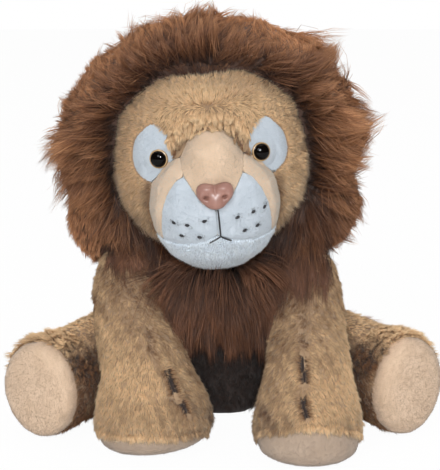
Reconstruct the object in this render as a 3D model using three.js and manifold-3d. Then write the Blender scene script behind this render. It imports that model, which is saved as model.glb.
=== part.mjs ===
// A plush lion that sits with its four paws spread before it, in millimetres, +Z up.
// It faces -Y, and its own left is +X. The origin is the middle of the flat seat.
import * as THREE from 'three';
import { mergeVertices } from 'three/addons/utils/BufferGeometryUtils.js';
import Module from 'manifold-3d';

const wasm = await Module();
wasm.setup();

// Cloth and clearances
const clearance = 0.3; // between pieces that touch
const seamPlayShare = 0.04; // how much wider a hollow is than the limb's round root that turns in it
const plushWall = 2.6; // backing cloth with its dense short pile
const fillingHole = 8; // radius of the hole that a limb, or the body, is filled through
const seatCut = 0.5; // how deep a rounded form is cut flat where it rests
const swingRoom = 2.5; // more room where the head, or a leg, swings past the other
const reach = 600; // overrun of every cutting block
const rayStart = 400; // how far out a line starts that looks for a surface

// Counts of sides
const formSides = { // round each form's outside and its inside
  body: { outer: 14, inner: 10 },
  leg: { outer: 14, inner: 10 },
  head: { outer: 16, inner: 16 },
  tail: { outer: 8, inner: 8 },
  pile: { outer: 12, inner: 12 },
};
const ballSides = { outer: 14, inner: 10 };
const ballRings = { outer: 8, inner: 6 };
const rootSides = { outer: 12, inner: 10 };
const rootRings = { outer: 6, inner: 5 };
const barSides = 12;
const domeRings = 4;
const threadCurve = 3; // steps on each half of a thread's section

// Body, from its seat to its neck
const body = {
  height: 128,
  halfWidth: 60,
  halfDepth: 59,
  seatBack: 22, // how far behind the origin the seat's middle lies
  bellyBack: 19,
  neckBack: 1,
  neckAside: -3,
  ringShares: [[0, 0.72], [0.05, 0.88], [0.14, 0.98], [0.28, 1.03], [0.45, 1], [0.62, 0.92],
    [0.78, 0.79], [0.9, 0.66], [1, 0.5]],
  bellyShare: 0.45, // where along the height the belly's middle lies
};
const neck = { x: -3, y: 0, z: 133, radius: 34, opening: 17, play: 1.6 };

// Pouch of pellets in the seat, which keeps the toy upright
const pellets = { halfWidth: 22, halfDepth: 36, halfHeight: 15, above: 5 };

// Front legs: the round root in the shoulder's seam, then the leg's middle line down to the sole
const shoulder = { out: 49, y: -4, z: 108, radius: 25, halfLength: 20 };
const frontLeg = {
  halfWidth: 27.5,
  halfDepth: 27,
  ringShares: [[0, 0, 0.4], [0.03, 0, 0.68], [0.1, 0, 0.92], [0.22, 0, 1], [0.45, 0, 1], [0.64, 0.2, 1],
    [0.8, 0.75, 1], [0.91, 1, 1], [0.965, 1, 0.93], [1, 1, 0.76]],
};
const frontLegSides = {
  left: {
    topOut: 60, topY: 1, topZ: 118, elbowOut: 63, elbowY: -37, elbowZ: 86,
    wristOut: 62, wristY: -102, wristZ: 42, soleOut: 61, soleY: -103, soleZ: 0,
    pawHalfWidth: 39, pawHalfDepth: 37, padRise: 30, padPitchDegrees: 32,
  },
  right: {
    topOut: 63, topY: 1, topZ: 118, elbowOut: 67, elbowY: -33, elbowZ: 86,
    wristOut: 50, wristY: -88, wristZ: 42, soleOut: 46, soleY: -89, soleZ: 0,
    pawHalfWidth: 43, pawHalfDepth: 36, padRise: 12, padPitchDegrees: 9,
  },
};

// Hind legs: the round root in the hip's seam, then the leg's middle line out to the upright sole
const hip = { out: 55, y: 21, z: 38, radius: 27, halfLength: 35 };
const hindLeg = {
  halfWidth: 30,
  halfHeight: 38,
  ringShares: [[0, 0, 0.5], [0.04, 0, 0.8], [0.12, 0, 0.96], [0.3, 0, 1], [0.58, 0.5, 0.95],
    [0.78, 1, 0.95], [0.91, 1, 1], [0.965, 1, 0.93], [0.99, 1, 0.76], [1, 1, 0.42]],
};
const hindLegSides = {
  left: {
    hipOut: 48, hipY: 25, kneeOut: 82, kneeY: 2, ankleOut: 112, ankleY: -38,
    soleOut: 141, soleY: -79, footHalfWidth: 32, footHeightShare: 1, padDepth: 10,
  },
  right: {
    hipOut: 48, hipY: 25, kneeOut: 80, kneeY: 0, ankleOut: 108, ankleY: -44,
    soleOut: 134, soleY: -87, footHalfWidth: 32, footHeightShare: 0.974, padDepth: 10,
  },
};

// Tail, which lies behind the body and curls to the toy's own left
const tail = {
  rootSunk: 5, rootZ: 16, rootRadius: 9, rootHalfLength: 9, halfWidth: 8, wall: 1.8, filledThrough: 3,
  bendX: 14, bendBehind: 27, restZ: 8, curlX: 52, curlBehind: 43, tipX: 88, tipBehind: 37,
  tuftRadius: 14, tuftLength: 46,
  ringShares: [[0, 0, 0.8], [0.15, 0, 1], [0.35, 0, 1], [0.55, 0, 1], [0.8, 0, 1], [1, 0, 0.6]],
  tuftShares: [[0, 0, 0.42], [0.12, 0, 0.7], [0.35, 0, 1], [0.6, 0, 0.95], [0.82, 0, 0.62], [1, 0, 0.2]],
};

// Head, in its own frame: its middle is the frame's origin, and it looks along -Y
const head = {
  x: -7.5, y: -12, z: 202, halfWidth: 70, halfDepth: 60, crown: 64, jaw: 69,
  ringShares: [[0, 0.36], [0.035, 0.55], [0.11, 0.76], [0.24, 0.92], [0.42, 1], [0.58, 0.995], [0.74, 0.92],
    [0.87, 0.74], [0.95, 0.5], [1, 0.22]],
};
const headTurnDegrees = 2; // the face looks this far to the toy's own left
const headTiltDegrees = 4; // and its own left side is this much higher

// Muzzle: a broad pad with the bridge of the nose above it
const muzzle = { y: -46, z: -33, halfWidth: 47, halfDepth: 38, halfHeight: 46 };
const bridge = { y: -50, z: -8, halfWidth: 24, halfDepth: 30, halfHeight: 32 };
// Seams of the muzzle's panels seen from the front, as shares of the muzzle's half width and half height
const bridgeOutlineShares = [[0, 0.1], [0.2, 0.2], [0.43, 0.58], [0.48, 0.9], [0.56, 1.6], [0, 1.6]];
const whiteOutlineShares = [[0, -0.31], [0.19, -0.39], [0.36, -0.43], [0.55, -0.45], [0.81, -0.41],
  [0.82, -0.2], [0.79, 0.07], [0.7, 0.31], [0.57, 0.5], [0.43, 0.59], [0, 0.59]];
const chinOutlineShares = [[0, -0.31], [0.19, -0.39], [0.36, -0.43], [0.55, -0.45], [0.81, -0.41],
  [1.2, -0.33], [1.2, -1.2], [0, -1.2]];

// White patch round each eye, an oval that leans outward at its foot
const patch = { out: 42, z: 6, halfWidth: 15, halfHeight: 21.5, sides: 20 };
const patchLeanDegrees = 12;

// Moulded parts
const eye = { out: 35.6, z: 4, radius: 6.6, height: 5.4, shankRadius: 2, shankLength: 14 };
const washer = { radius: 8, thickness: 1.6, fit: 0.4, standOff: 1.5 };
const nose = {
  z: -19, halfWidth: 12.8, halfHeight: 9, thickness: 6, rounding: 1.6, sunk: 3,
  shankRadius: 2.4, shankLength: 16, nostrilOut: 6.4, nostrilUp: 0, nostrilRadius: 1.9, outlineSteps: 20,
  outlineShares: [[0, 0.84], [0.36, 1], [0.76, 0.97], [1, 0.6], [0.98, 0.25], [0.76, -0.15], [0.55, -0.55],
    [0.42, -0.85], [0.18, -1]],
};

// Sewn thread: the line under the nose with a short smile, and five whisker stitches on each cheek
const thread = { radius: 0.7, whiskerLength: 4.4, lineSteps: 4, whiskerSteps: 2 };
const mouthShares = { top: 0.05, fork: -0.31, smileOut: 0.36, smileEnd: -0.43, smileMiddle: -0.395 };
const whiskerShares = [[0.25, -0.05], [0.5, -0.08], [0.68, -0.05], [0.35, -0.28], [0.58, -0.27]];

// Mane round the face and over the back of the head, and the long pile on the chest
const mane = { y: 12, z: 0, halfWidth: 112, halfDepth: 68, halfHeight: 95, rim: 15 };
const drape = { out: 58, y: 8, z: -48, halfWidth: 50, halfDepth: 44, halfHeight: 42 }; // mane over each shoulder
const maneRimLeanDegrees = 11; // the rim hangs forward over the forehead
const chest = {
  topY: -30, topZ: 121, middleY: -44, middleZ: 82, footY: -38, footZ: 6, halfWidth: 42, halfDepth: 14,
  ringShares: [[0, 0, 0.55], [0.05, 0, 0.8], [0.2, 0, 1], [0.42, 0, 1.05], [0.6, 0, 0.85], [0.8, 0, 0.8],
    [0.94, 0, 0.7], [1, 0, 0.5]],
};

// How far each seam lets its part swing, in degrees
const nodDegrees = { back: 8, forward: 5 };
const raiseDegrees = 25;
const splayDegrees = 25;
const wagDegrees = 20;

// Materials, by the cloth or plastic they stand for
const paint = (color, roughness) => new THREE.MeshStandardMaterial({ color, roughness, metalness: 0 });
const materials = {
  tanPlush: () => paint(0xc79a6b, 0.95),
  brownPile: () => paint(0x5b3422, 0.95),
  peachVelour: () => paint(0xe3bd97, 0.9),
  whiteVelour: () => paint(0xdfe6ee, 0.9),
  stuffing: () => paint(0xf4f2ec, 1),
  pelletCloth: () => paint(0xd9d4c8, 0.9),
  noseVinyl: () => paint(0xb9796b, 0.45),
  eyePlastic: () => paint(0x20150e, 0.1),
  washerPlastic: () => paint(0xe8e8e4, 0.4),
  blackThread: () => paint(0x1c1a1e, 0.8),
};

const axisX = new THREE.Vector3(1, 0, 0);
const axisY = new THREE.Vector3(0, 1, 0);
const axisZ = new THREE.Vector3(0, 0, 1);
const vec = (x, y, z) => new THREE.Vector3(x, y, z);
const radians = THREE.MathUtils.degToRad;

// A closed solid from a three.js geometry, whichever way its faces were wound
function solidOf(geometry) {
  const bare = geometry.clone();
  bare.deleteAttribute('normal');
  bare.deleteAttribute('uv');
  const merged = mergeVertices(bare);
  const position = merged.attributes.position;
  const corners = Uint32Array.from(merged.index.array);
  if (signedVolume(position, corners) < 0) {
    corners.reverse();
  }
  return new wasm.Manifold(new wasm.Mesh({
    numProp: 3,
    vertProperties: Float32Array.from(position.array),
    triVerts: corners,
  }));
}

function signedVolume(position, corners) {
  const [a, b, c] = [vec(0, 0, 0), vec(0, 0, 0), vec(0, 0, 0)];
  let total = 0;
  for (let i = 0; i < corners.length; i += 3) {
    a.fromBufferAttribute(position, corners[i]);
    b.fromBufferAttribute(position, corners[i + 1]);
    c.fromBufferAttribute(position, corners[i + 2]);
    total += a.dot(b.cross(c));
  }
  return total;
}

function geometryOf(solid) {
  const mesh = solid.getMesh();
  const geometry = new THREE.BufferGeometry();
  geometry.setAttribute('position', new THREE.BufferAttribute(Float32Array.from(mesh.vertProperties), 3));
  geometry.setIndex(Array.from(mesh.triVerts));
  return geometry;
}

const moved = (solid, matrix) => solidOf(geometryOf(solid).applyMatrix4(matrix));

// A solid turned about an axis through a point
function turned(solid, centre, axis, degrees) {
  const matrix = new THREE.Matrix4().makeTranslation(centre);
  matrix.multiply(new THREE.Matrix4().makeRotationAxis(axis, radians(degrees)));
  matrix.multiply(new THREE.Matrix4().makeTranslation(centre.clone().negate()));
  return moved(solid, matrix);
}

const joined = (solids) => solids.reduce((sum, solid) => sum.add(solid));

// The largest of the bodies that a cut leaves
function largest(solid) {
  return solid.decompose().reduce((best, piece) => (piece.volume() > best.volume() ? piece : best));
}

// What an obstacle takes out of a piece that swings past it, from one limit to the other
function sweptPast(obstacle, { centre, axis, low, high }) {
  return joined([low, (low + high) / 2, high].map((degrees) => turned(obstacle, centre, axis, -degrees)));
}

// A closed skin over rings of equally many points, with a fan over each end
function skinOverRings(rings) {
  const sides = rings[0].length;
  const middle = (ring) => ring.reduce((sum, p) => sum.add(p), vec(0, 0, 0)).divideScalar(sides);
  const points = [...rings.flat(), middle(rings[0]), middle(rings[rings.length - 1])];
  const corners = [];
  for (let r = 0; r + 1 < rings.length; r += 1) {
    for (let s = 0; s < sides; s += 1) {
      const next = (s + 1) % sides;
      const [a, b] = [r * sides + s, r * sides + next];
      corners.push(a, b, b + sides, a, b + sides, a + sides);
    }
  }
  const last = (rings.length - 1) * sides;
  for (let s = 0; s < sides; s += 1) {
    const next = (s + 1) % sides;
    corners.push(next, s, points.length - 2, last + s, last + next, points.length - 1);
  }
  const geometry = new THREE.BufferGeometry().setFromPoints(points);
  geometry.setIndex(corners);
  return solidOf(geometry);
}

// A stuffed form round a path. Each ring is [share along, share of the way from start to end size, share of it].
// A positive inset shrinks the form all round, and a negative one grows it.
function stuffedForm(form, inset = 0, face = faceFor(inset)) {
  const curve = new THREE.CatmullRomCurve3(form.path);
  const length = curve.getLength();
  const count = form.sides[face];
  const rings = form.ringShares.map(([along, endShare, full]) => {
    const at = (inset + (length - 2 * inset) * along) / length;
    const clamped = Math.min(Math.max(at, 0), 1);
    const tangent = curve.getTangentAt(clamped);
    const centre = curve.getPointAt(clamped).addScaledVector(tangent, (at - clamped) * length);
    const wide = form.wideAxis.clone().addScaledVector(tangent, -form.wideAxis.dot(tangent)).normalize();
    const deep = tangent.clone().cross(wide);
    const size = (start, end) => Math.max((start + (end - start) * endShare) * full - inset, clearance);
    const ring = [];
    for (let s = 0; s < count; s += 1) {
      const angle = (2 * Math.PI * s) / count;
      ring.push(centre.clone()
        .addScaledVector(wide, Math.cos(angle) * size(...form.wideSizes))
        .addScaledVector(deep, Math.sin(angle) * size(...form.deepSizes)));
    }
    return ring;
  });
  return skinOverRings(rings);
}

const ball = (centre, radius, face) => ellipsoid(centre, radius, radius, radius, face);
const faceFor = (inset) => (inset > 0 ? 'inner' : 'outer');

function ellipsoid(centre, halfX, halfY, halfZ, face = 'outer') {
  const geometry = new THREE.SphereGeometry(1, ballSides[face], ballRings[face]);
  geometry.rotateX(Math.PI / 2);
  geometry.scale(halfX, halfY, halfZ);
  return solidOf(geometry.translate(centre.x, centre.y, centre.z));
}

// A round bar from one point to another
function bar(from, to, radius) {
  const geometry = new THREE.CylinderGeometry(radius, radius, from.distanceTo(to), barSides);
  geometry.applyQuaternion(new THREE.Quaternion().setFromUnitVectors(axisY, to.clone().sub(from).normalize()));
  const middle = from.clone().add(to).divideScalar(2);
  return solidOf(geometry.translate(middle.x, middle.y, middle.z));
}

// All that lies beyond a plane, as a block
function beyond(point, normal) {
  const geometry = new THREE.BoxGeometry(reach, reach, reach);
  geometry.translate(0, 0, reach / 2);
  geometry.applyQuaternion(new THREE.Quaternion().setFromUnitVectors(axisZ, normal.clone().normalize()));
  return solidOf(geometry.translate(point.x, point.y, point.z));
}

const below = (height) => beyond(vec(0, 0, height), axisZ.clone().negate());

// A piece's wall, and what is left inside it for the filling
function skinOf(solidAt, wall) {
  return solidAt(0).subtract(solidAt(wall));
}

// Body

const neckCentre = vec(neck.x, neck.y, neck.z);
const sides = { left: 1, right: -1 };
const shoulderCentre = (side) => vec(sides[side] * shoulder.out, shoulder.y, shoulder.z);
const hipCentre = (side) => vec(sides[side] * hip.out, hip.y, hip.z);

// The round root of a limb, which turns about its seam's axis
function rootSolid({ centre, axis, radius, halfLength }, grow, face) {
  const geometry = new THREE.SphereGeometry(1, rootSides[face], rootRings[face]);
  geometry.scale(radius + grow, halfLength + grow, radius + grow);
  geometry.applyQuaternion(new THREE.Quaternion().setFromUnitVectors(axisY, axis));
  return solidOf(geometry.translate(centre.x, centre.y, centre.z));
}

const shoulderRoot = (side) => ({
  centre: shoulderCentre(side), axis: axisX, halfLength: shoulder.halfLength, radius: shoulder.radius,
});
const hipRoot = (side) => ({ centre: hipCentre(side), axis: axisZ, halfLength: hip.halfLength, radius: hip.radius });
const bodyBack = body.seatBack + body.halfDepth;
const tailCentre = vec(0, bodyBack - tail.rootSunk, tail.rootZ);
const tailRoot = { centre: tailCentre, axis: axisZ, halfLength: tail.rootHalfLength, radius: tail.rootRadius };

const bodyForm = {
  path: [
    vec(0, body.seatBack, -seatCut),
    vec(0, body.bellyBack, body.height * body.bellyShare),
    vec(body.neckAside, body.neckBack, body.height),
  ],
  wideAxis: axisX,
  wideSizes: [body.halfWidth, body.halfWidth],
  deepSizes: [body.halfDepth, body.halfDepth],
  ringShares: body.ringShares.map(([along, full]) => [along, 0, full]),
  sides: formSides.body,
};

function bodyAndNeck(inset) {
  return stuffedForm(bodyForm, inset).add(ball(neckCentre, neck.radius - inset, faceFor(inset)));
}

function bodySolid(inset) {
  const roots = [tailRoot, ...Object.keys(sides).flatMap((side) => [shoulderRoot(side), hipRoot(side)])];
  const hollows = roots.map((root) => (
    rootSolid(root, root.radius * seamPlayShare + inset, faceFor(inset))
  ));
  return bodyAndNeck(inset).subtract(joined(hollows)).subtract(below(inset));
}

// Limbs

const swings = {
  neck: { centre: neckCentre, axis: axisX, low: -nodDegrees.back, high: nodDegrees.forward },
  tail: { centre: tailCentre, axis: axisZ, low: -wagDegrees, high: wagDegrees },
};
for (const side of Object.keys(sides)) {
  swings[`shoulder_${side}`] = {
    centre: shoulderCentre(side), axis: axisX.clone().negate(), low: 0, high: raiseDegrees,
  };
  swings[`hip_${side}`] = {
    centre: hipCentre(side), axis: axisZ.clone().multiplyScalar(sides[side]), low: 0, high: splayDegrees,
  };
}

// Lowers or lifts a form so that it reaches just below the floor, where it is then cut flat
function settled(form) {
  const lowest = stuffedForm(form).boundingBox().min[2];
  const drop = vec(0, 0, -seatCut - lowest);
  return { ...form, path: form.path.map((point) => point.clone().add(drop)) };
}

function frontLegForm(side) {
  const own = frontLegSides[side];
  const sign = sides[side];
  return settled({
    path: [
      vec(sign * own.topOut, own.topY, own.topZ),
      vec(sign * own.elbowOut, own.elbowY, own.elbowZ),
      vec(sign * own.wristOut, own.wristY, own.wristZ),
      vec(sign * own.soleOut, own.soleY, own.soleZ),
    ],
    wideAxis: axisX,
    wideSizes: [frontLeg.halfWidth, own.pawHalfWidth],
    deepSizes: [frontLeg.halfDepth, own.pawHalfDepth],
    ringShares: frontLeg.ringShares,
    sides: formSides.leg,
  });
}

function hindLegForm(side) {
  const own = hindLegSides[side];
  const sign = sides[side];
  return settled({
    path: [
      vec(sign * own.hipOut, own.hipY, hindLeg.halfHeight),
      vec(sign * own.kneeOut, own.kneeY, hindLeg.halfHeight),
      vec(sign * own.ankleOut, own.ankleY, hindLeg.halfHeight),
      vec(sign * own.soleOut, own.soleY, hindLeg.halfHeight),
    ],
    wideAxis: axisZ,
    wideSizes: [hindLeg.halfHeight, hindLeg.halfHeight * own.footHeightShare],
    deepSizes: [hindLeg.halfWidth, own.footHalfWidth],
    ringShares: hindLeg.ringShares,
    sides: formSides.leg,
  });
}

const tailForm = settled({
  path: [
    tailCentre,
    vec(tail.bendX, bodyBack + tail.bendBehind, tail.restZ),
    vec(tail.curlX, bodyBack + tail.curlBehind, tail.restZ),
    vec(tail.tipX, bodyBack + tail.tipBehind, tail.restZ),
  ],
  wideAxis: axisZ,
  wideSizes: [tail.halfWidth, tail.halfWidth],
  deepSizes: [tail.halfWidth, tail.halfWidth],
  ringShares: tail.ringShares,
  sides: formSides.tail,
});

// A limb with its round root, cut back from the body and from every other form that it swings past
function limbSolid(limb, inset) {
  const root = rootSolid(limb.root, -inset, faceFor(inset));
  const grow = -(clearance + inset);
  const trunk = sweptPast(bodyAndNeck(grow), limb.swing);
  const obstacles = joined([trunk, ...limb.beside.map((form) => stuffedForm(form, grow))]);
  return largest(stuffedForm(limb.form, inset)
    .add(root)
    .subtract(obstacles.subtract(root))
    .subtract(below(inset)));
}

// The sole's panel is the part of the skin beyond the plane where the leg's side cloth ends
function endPlane(form, depth) {
  const curve = new THREE.CatmullRomCurve3(form.path);
  const tangent = curve.getTangentAt(1);
  return { point: curve.getPointAt(1).addScaledVector(tangent, -depth), normal: tangent };
}

function pawPlane(side) {
  const { soleY, pawHalfDepth, padRise, padPitchDegrees } = frontLegSides[side];
  const pitch = radians(padPitchDegrees);
  return { point: vec(0, soleY - pawHalfDepth, padRise), normal: vec(0, -Math.sin(pitch), -Math.cos(pitch)) };
}

// Root hole through which the limb is filled, towards the middle of the body
function rootHole(centre, inward, radius) {
  return bar(centre, centre.clone().addScaledVector(inward.normalize(), reach), radius);
}

const frontForms = { left: frontLegForm('left'), right: frontLegForm('right') };
const hindForms = { left: hindLegForm('left'), right: hindLegForm('right') };

const parts = [];
function piece(name, solid, material) {
  parts.push([name, solid, material]);
  return solid;
}

// The plush, the sole and the filling of one leg
function addLeg(name, soleName, limb, plane, inward) {
  const wall = skinOf((inset) => limbSolid(limb, inset), plushWall);
  const hole = rootHole(limb.root.centre, inward, fillingHole);
  const tube = wall.subtract(beyond(plane.point, plane.normal)).subtract(hole);
  const edge = plane.point.clone().addScaledVector(plane.normal, clearance);
  piece(`${name}_skin`, largest(tube), materials.tanPlush);
  piece(soleName, largest(wall.intersect(beyond(edge, plane.normal))), materials.peachVelour);
  piece(`${name}_filling`, limbSolid(limb, plushWall + clearance), materials.stuffing);
}

function addLegs() {
  for (const side of Object.keys(sides)) {
    const inward = axisX.clone().multiplyScalar(-sides[side]);
    addLeg(`front_leg_${side}`, `front_paw_pad_${side}`, {
      form: frontForms[side],
      root: shoulderRoot(side),
      swing: swings[`shoulder_${side}`],
      beside: [],
    }, pawPlane(side), inward);
    addLeg(`hind_leg_${side}`, `hind_foot_pad_${side}`, {
      form: hindForms[side],
      root: hipRoot(side),
      swing: swings[`hip_${side}`],
      beside: [frontForms[side]],
    }, endPlane(hindForms[side], hindLegSides[side].padDepth), inward.clone());
  }
}

function addTail() {
  const limb = { form: tailForm, root: tailRoot, swing: swings.tail, beside: [] };
  const tip = endPlane(tailForm, 0);
  const tuftForm = {
    path: [
      tip.point.clone().addScaledVector(tip.normal, clearance),
      tip.point.clone().addScaledVector(tip.normal, clearance + tail.tuftLength),
    ],
    wideAxis: axisZ,
    wideSizes: [tail.tuftRadius, tail.tuftRadius],
    deepSizes: [tail.tuftRadius, tail.tuftRadius],
    ringShares: tail.tuftShares,
    sides: formSides.pile,
  };
  const inward = axisY.clone().negate();
  const wall = skinOf((inset) => limbSolid(limb, inset), tail.wall);
  const hole = rootHole(tailCentre, inward, tail.filledThrough);
  piece('tail_skin', largest(wall.subtract(hole)), materials.tanPlush);
  piece('tail_filling', limbSolid(limb, tail.wall + clearance), materials.stuffing);
  piece('tail_tuft', stuffedForm(settled(tuftForm)).subtract(below(0)), materials.brownPile);
}

function addBody() {
  const skin = skinOf(bodySolid, plushWall);
  const opening = bar(neckCentre, neckCentre.clone().addScaledVector(axisZ, reach), neck.opening);
  piece('body_skin', largest(skin.subtract(opening)), materials.tanPlush);
  const pouchFloor = plushWall + 2 * clearance + pellets.above;
  const pouch = (grow) => ellipsoid(
    vec(0, body.seatBack, pouchFloor + pellets.halfHeight),
    pellets.halfWidth + grow,
    pellets.halfDepth + grow,
    pellets.halfHeight + grow,
    'inner',
  );
  const room = bodySolid(plushWall + clearance);
  piece('pellet_pouch', largest(pouch(0).intersect(room)), materials.pelletCloth);
  const sleeve = bar(
    vec(0, body.seatBack, pouchFloor + pellets.halfHeight),
    vec(0, body.seatBack, -reach),
    fillingHole,
  );
  piece('body_filling', largest(room.subtract(pouch(clearance)).subtract(sleeve)), materials.stuffing);
}

// All the room that a front leg takes up as it rises
function raisedLeg(side) {
  const { centre, axis, low, high } = swings[`shoulder_${side}`];
  const root = rootSolid(shoulderRoot(side), swingRoom, 'outer');
  const leg = stuffedForm(frontForms[side], -swingRoom, 'inner').add(root);
  return sweptPast(leg, { centre, axis, low: -high, high: -low });
}

// Long pile on the chest, cut back from the legs as they rise and from the body
function chestSolid() {
  const form = {
    path: [
      vec(neck.x, chest.topY, chest.topZ),
      vec(0, chest.middleY, chest.middleZ),
      vec(0, chest.footY, chest.footZ),
    ],
    wideAxis: axisX,
    wideSizes: [chest.halfWidth, chest.halfWidth],
    deepSizes: [chest.halfDepth, chest.halfDepth],
    ringShares: chest.ringShares,
    sides: formSides.pile,
  };
  const solid = stuffedForm(form).subtract(bodyAndNeck(-clearance));
  return largest(solid.subtract(joined(Object.keys(sides).map(raisedLeg))));
}

// Head

const headPlace = new THREE.Matrix4().makeTranslation(vec(head.x, head.y, head.z));
headPlace.multiply(new THREE.Matrix4().makeRotationZ(radians(headTurnDegrees)));
headPlace.multiply(new THREE.Matrix4().makeRotationY(radians(-headTiltDegrees)));
const toHead = headPlace.clone().invert();

const headForm = {
  path: [vec(0, 0, -head.jaw), vec(0, 0, head.crown)],
  wideAxis: axisX,
  wideSizes: [head.halfWidth, head.halfWidth],
  deepSizes: [head.halfDepth, head.halfDepth],
  ringShares: head.ringShares.map(([along, full]) => [along, 0, full]),
  sides: formSides.head,
};

function muzzleForm(inset) {
  const [pad, ridge] = [muzzle, bridge].map(({ y, z, halfWidth, halfDepth, halfHeight }) => ellipsoid(
    vec(0, y, z),
    halfWidth - inset,
    halfDepth - inset,
    halfHeight - inset,
  ));
  return pad.add(ridge);
}

// What the head must stay clear of as it nods, seen from the head's frame
function headObstacles(chestPiece) {
  const trunk = stuffedForm(bodyForm, -swingRoom, 'inner');
  const room = joined([chestPiece, trunk, ...Object.keys(sides).map(raisedLeg)]);
  return moved(sweptPast(room, swings.neck), toHead);
}

function neckHollow(inset) {
  return ball(neckCentre.clone().applyMatrix4(toHead), neck.radius + neck.play + inset, faceFor(inset));
}

// The front surface at a place on the face, with its outward direction
function onFace(solid, x, z) {
  const target = new THREE.Mesh(geometryOf(solid), new THREE.MeshBasicMaterial({ side: THREE.DoubleSide }));
  const ray = new THREE.Raycaster(vec(x, -rayStart, z), axisY.clone());
  const hit = ray.intersectObject(target)[0];
  return { point: hit.point, normal: hit.face.normal.clone() };
}

const muzzlePoint = ([x, z]) => [x * muzzle.halfWidth, muzzle.z + z * muzzle.halfHeight];

// An outline seen from the front, grown or shrunk all round
function grownOutline(points, by) {
  const count = points.length;
  const turn = Math.sign(THREE.ShapeUtils.area(points.map(([x, z]) => new THREE.Vector2(x, z))));
  return points.map(([x, z], i) => {
    const [px, pz] = points[(i + count - 1) % count];
    const [nx, nz] = points[(i + 1) % count];
    const out = new THREE.Vector2(nz - pz, px - nx).normalize().multiplyScalar(by * turn);
    return [x + out.x, z + out.y];
  });
}

// Everything behind and before an outline on the face
function faceBlock(points) {
  const shape = new THREE.Shape(points.map(([x, z]) => new THREE.Vector2(x, z)));
  const geometry = new THREE.ExtrudeGeometry(shape, { depth: reach, bevelEnabled: false });
  geometry.rotateX(Math.PI / 2);
  return solidOf(geometry);
}

const mirrored = (points, sign) => points.map(([x, z]) => [x * sign, z]);

function patchOutline(side) {
  const lean = radians(patchLeanDegrees);
  const points = [];
  for (let i = 0; i < patch.sides; i += 1) {
    const angle = (2 * Math.PI * i) / patch.sides;
    const [wide, high] = [Math.cos(angle) * patch.halfWidth, Math.sin(angle) * patch.halfHeight];
    points.push([
      patch.out + wide * Math.cos(lean) - high * Math.sin(lean),
      patch.z + wide * Math.sin(lean) + high * Math.cos(lean),
    ]);
  }
  return mirrored(points, sides[side]);
}

// The bridge's whole outline, from its right half
function bridgeOutline() {
  const half = bridgeOutlineShares.map(muzzlePoint);
  const other = half.slice(1, -1).reverse();
  return [...half, ...mirrored(other, -1)];
}

// A seat on the face for something moulded: where it sits, the way it looks, and its tilt to the cloth
function faceSeat(solid, x, z) {
  const { point, normal } = onFace(solid, x, z);
  const look = normal.clone().sub(axisY).normalize();
  return { point, look, tilt: normal.angleTo(look) };
}

function washerDepth(seat) {
  return plushWall / Math.cos(seat.tilt) + washer.radius * Math.tan(seat.tilt) + washer.standOff;
}

function washerSolid(seat, shankRadius, grow) {
  const front = seat.point.clone().addScaledVector(seat.look, -washerDepth(seat) + grow);
  const rear = front.clone().addScaledVector(seat.look, -washer.thickness - 2 * grow);
  const disc = bar(front, rear, washer.radius + grow);
  return grow > 0 ? disc : disc.subtract(shankSolid(seat, shankRadius + washer.fit, reach));
}

function shankSolid(seat, radius, length) {
  return bar(seat.point, seat.point.clone().addScaledVector(seat.look, -length), radius);
}

function eyeSolid(seat, grow) {
  const profile = [new THREE.Vector2(0, -grow)];
  for (let i = 0; i <= domeRings; i += 1) {
    const angle = (Math.PI / 2) * (i / domeRings);
    profile.push(new THREE.Vector2(
      Math.cos(angle) * (eye.radius + grow),
      Math.sin(angle) * (eye.height + grow) - (i === 0 ? grow : 0),
    ));
  }
  profile[profile.length - 1].x = 0;
  const dome = new THREE.LatheGeometry(profile, barSides);
  dome.applyQuaternion(new THREE.Quaternion().setFromUnitVectors(axisY, seat.look));
  dome.translate(seat.point.x, seat.point.y, seat.point.z);
  return solidOf(dome).add(shankSolid(seat, eye.shankRadius + grow, eye.shankLength + grow));
}

function noseSolid(seat, grow) {
  const half = nose.outlineShares.map(([x, z]) => new THREE.Vector2(
    x * (nose.halfWidth + grow - nose.rounding),
    z * (nose.halfHeight + grow - nose.rounding),
  ));
  const other = half.slice(1).reverse().map((point) => new THREE.Vector2(-point.x, point.y));
  const outline = new THREE.SplineCurve([...half, ...other, half[0]]).getPoints(nose.outlineSteps);
  const shape = new THREE.Shape(outline.slice(0, -1));
  const block = new THREE.ExtrudeGeometry(shape, {
    depth: nose.thickness + nose.sunk - nose.rounding,
    bevelThickness: nose.rounding,
    bevelSize: nose.rounding,
    bevelSegments: 2,
  });
  block.rotateX(Math.PI / 2);
  block.translate(0, nose.sunk, 0);
  block.applyQuaternion(new THREE.Quaternion().setFromUnitVectors(axisY.clone().negate(), seat.look));
  block.translate(seat.point.x, seat.point.y, seat.point.z);
  return solidOf(block);
}

function noseShank(seat, grow) {
  const point = seat.point.clone().addScaledVector(seat.look, nose.sunk);
  return shankSolid({ ...seat, point }, nose.shankRadius + grow, nose.shankLength + nose.sunk);
}

function nostrils(seat) {
  const front = seat.point.clone().addScaledVector(seat.look, nose.thickness + nose.rounding / 2);
  return joined([-1, 1].map((sign) => ball(
    front.clone().add(vec(sign * nose.nostrilOut, 0, nose.nostrilUp)),
    nose.nostrilRadius,
  )));
}

// A thread laid on the face through places seen from the front
function threadOn(solid, places, steps) {
  const curve = new THREE.CatmullRomCurve3(places.map(([x, z]) => {
    const { point, normal } = onFace(solid, x, z);
    return point.addScaledVector(normal, thread.radius + clearance);
  }));
  const section = new THREE.Shape();
  section.absarc(0, 0, thread.radius, 0, 2 * Math.PI);
  return solidOf(new THREE.ExtrudeGeometry(section, {
    curveSegments: threadCurve, steps, bevelEnabled: false, extrudePath: curve,
  }));
}

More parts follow.
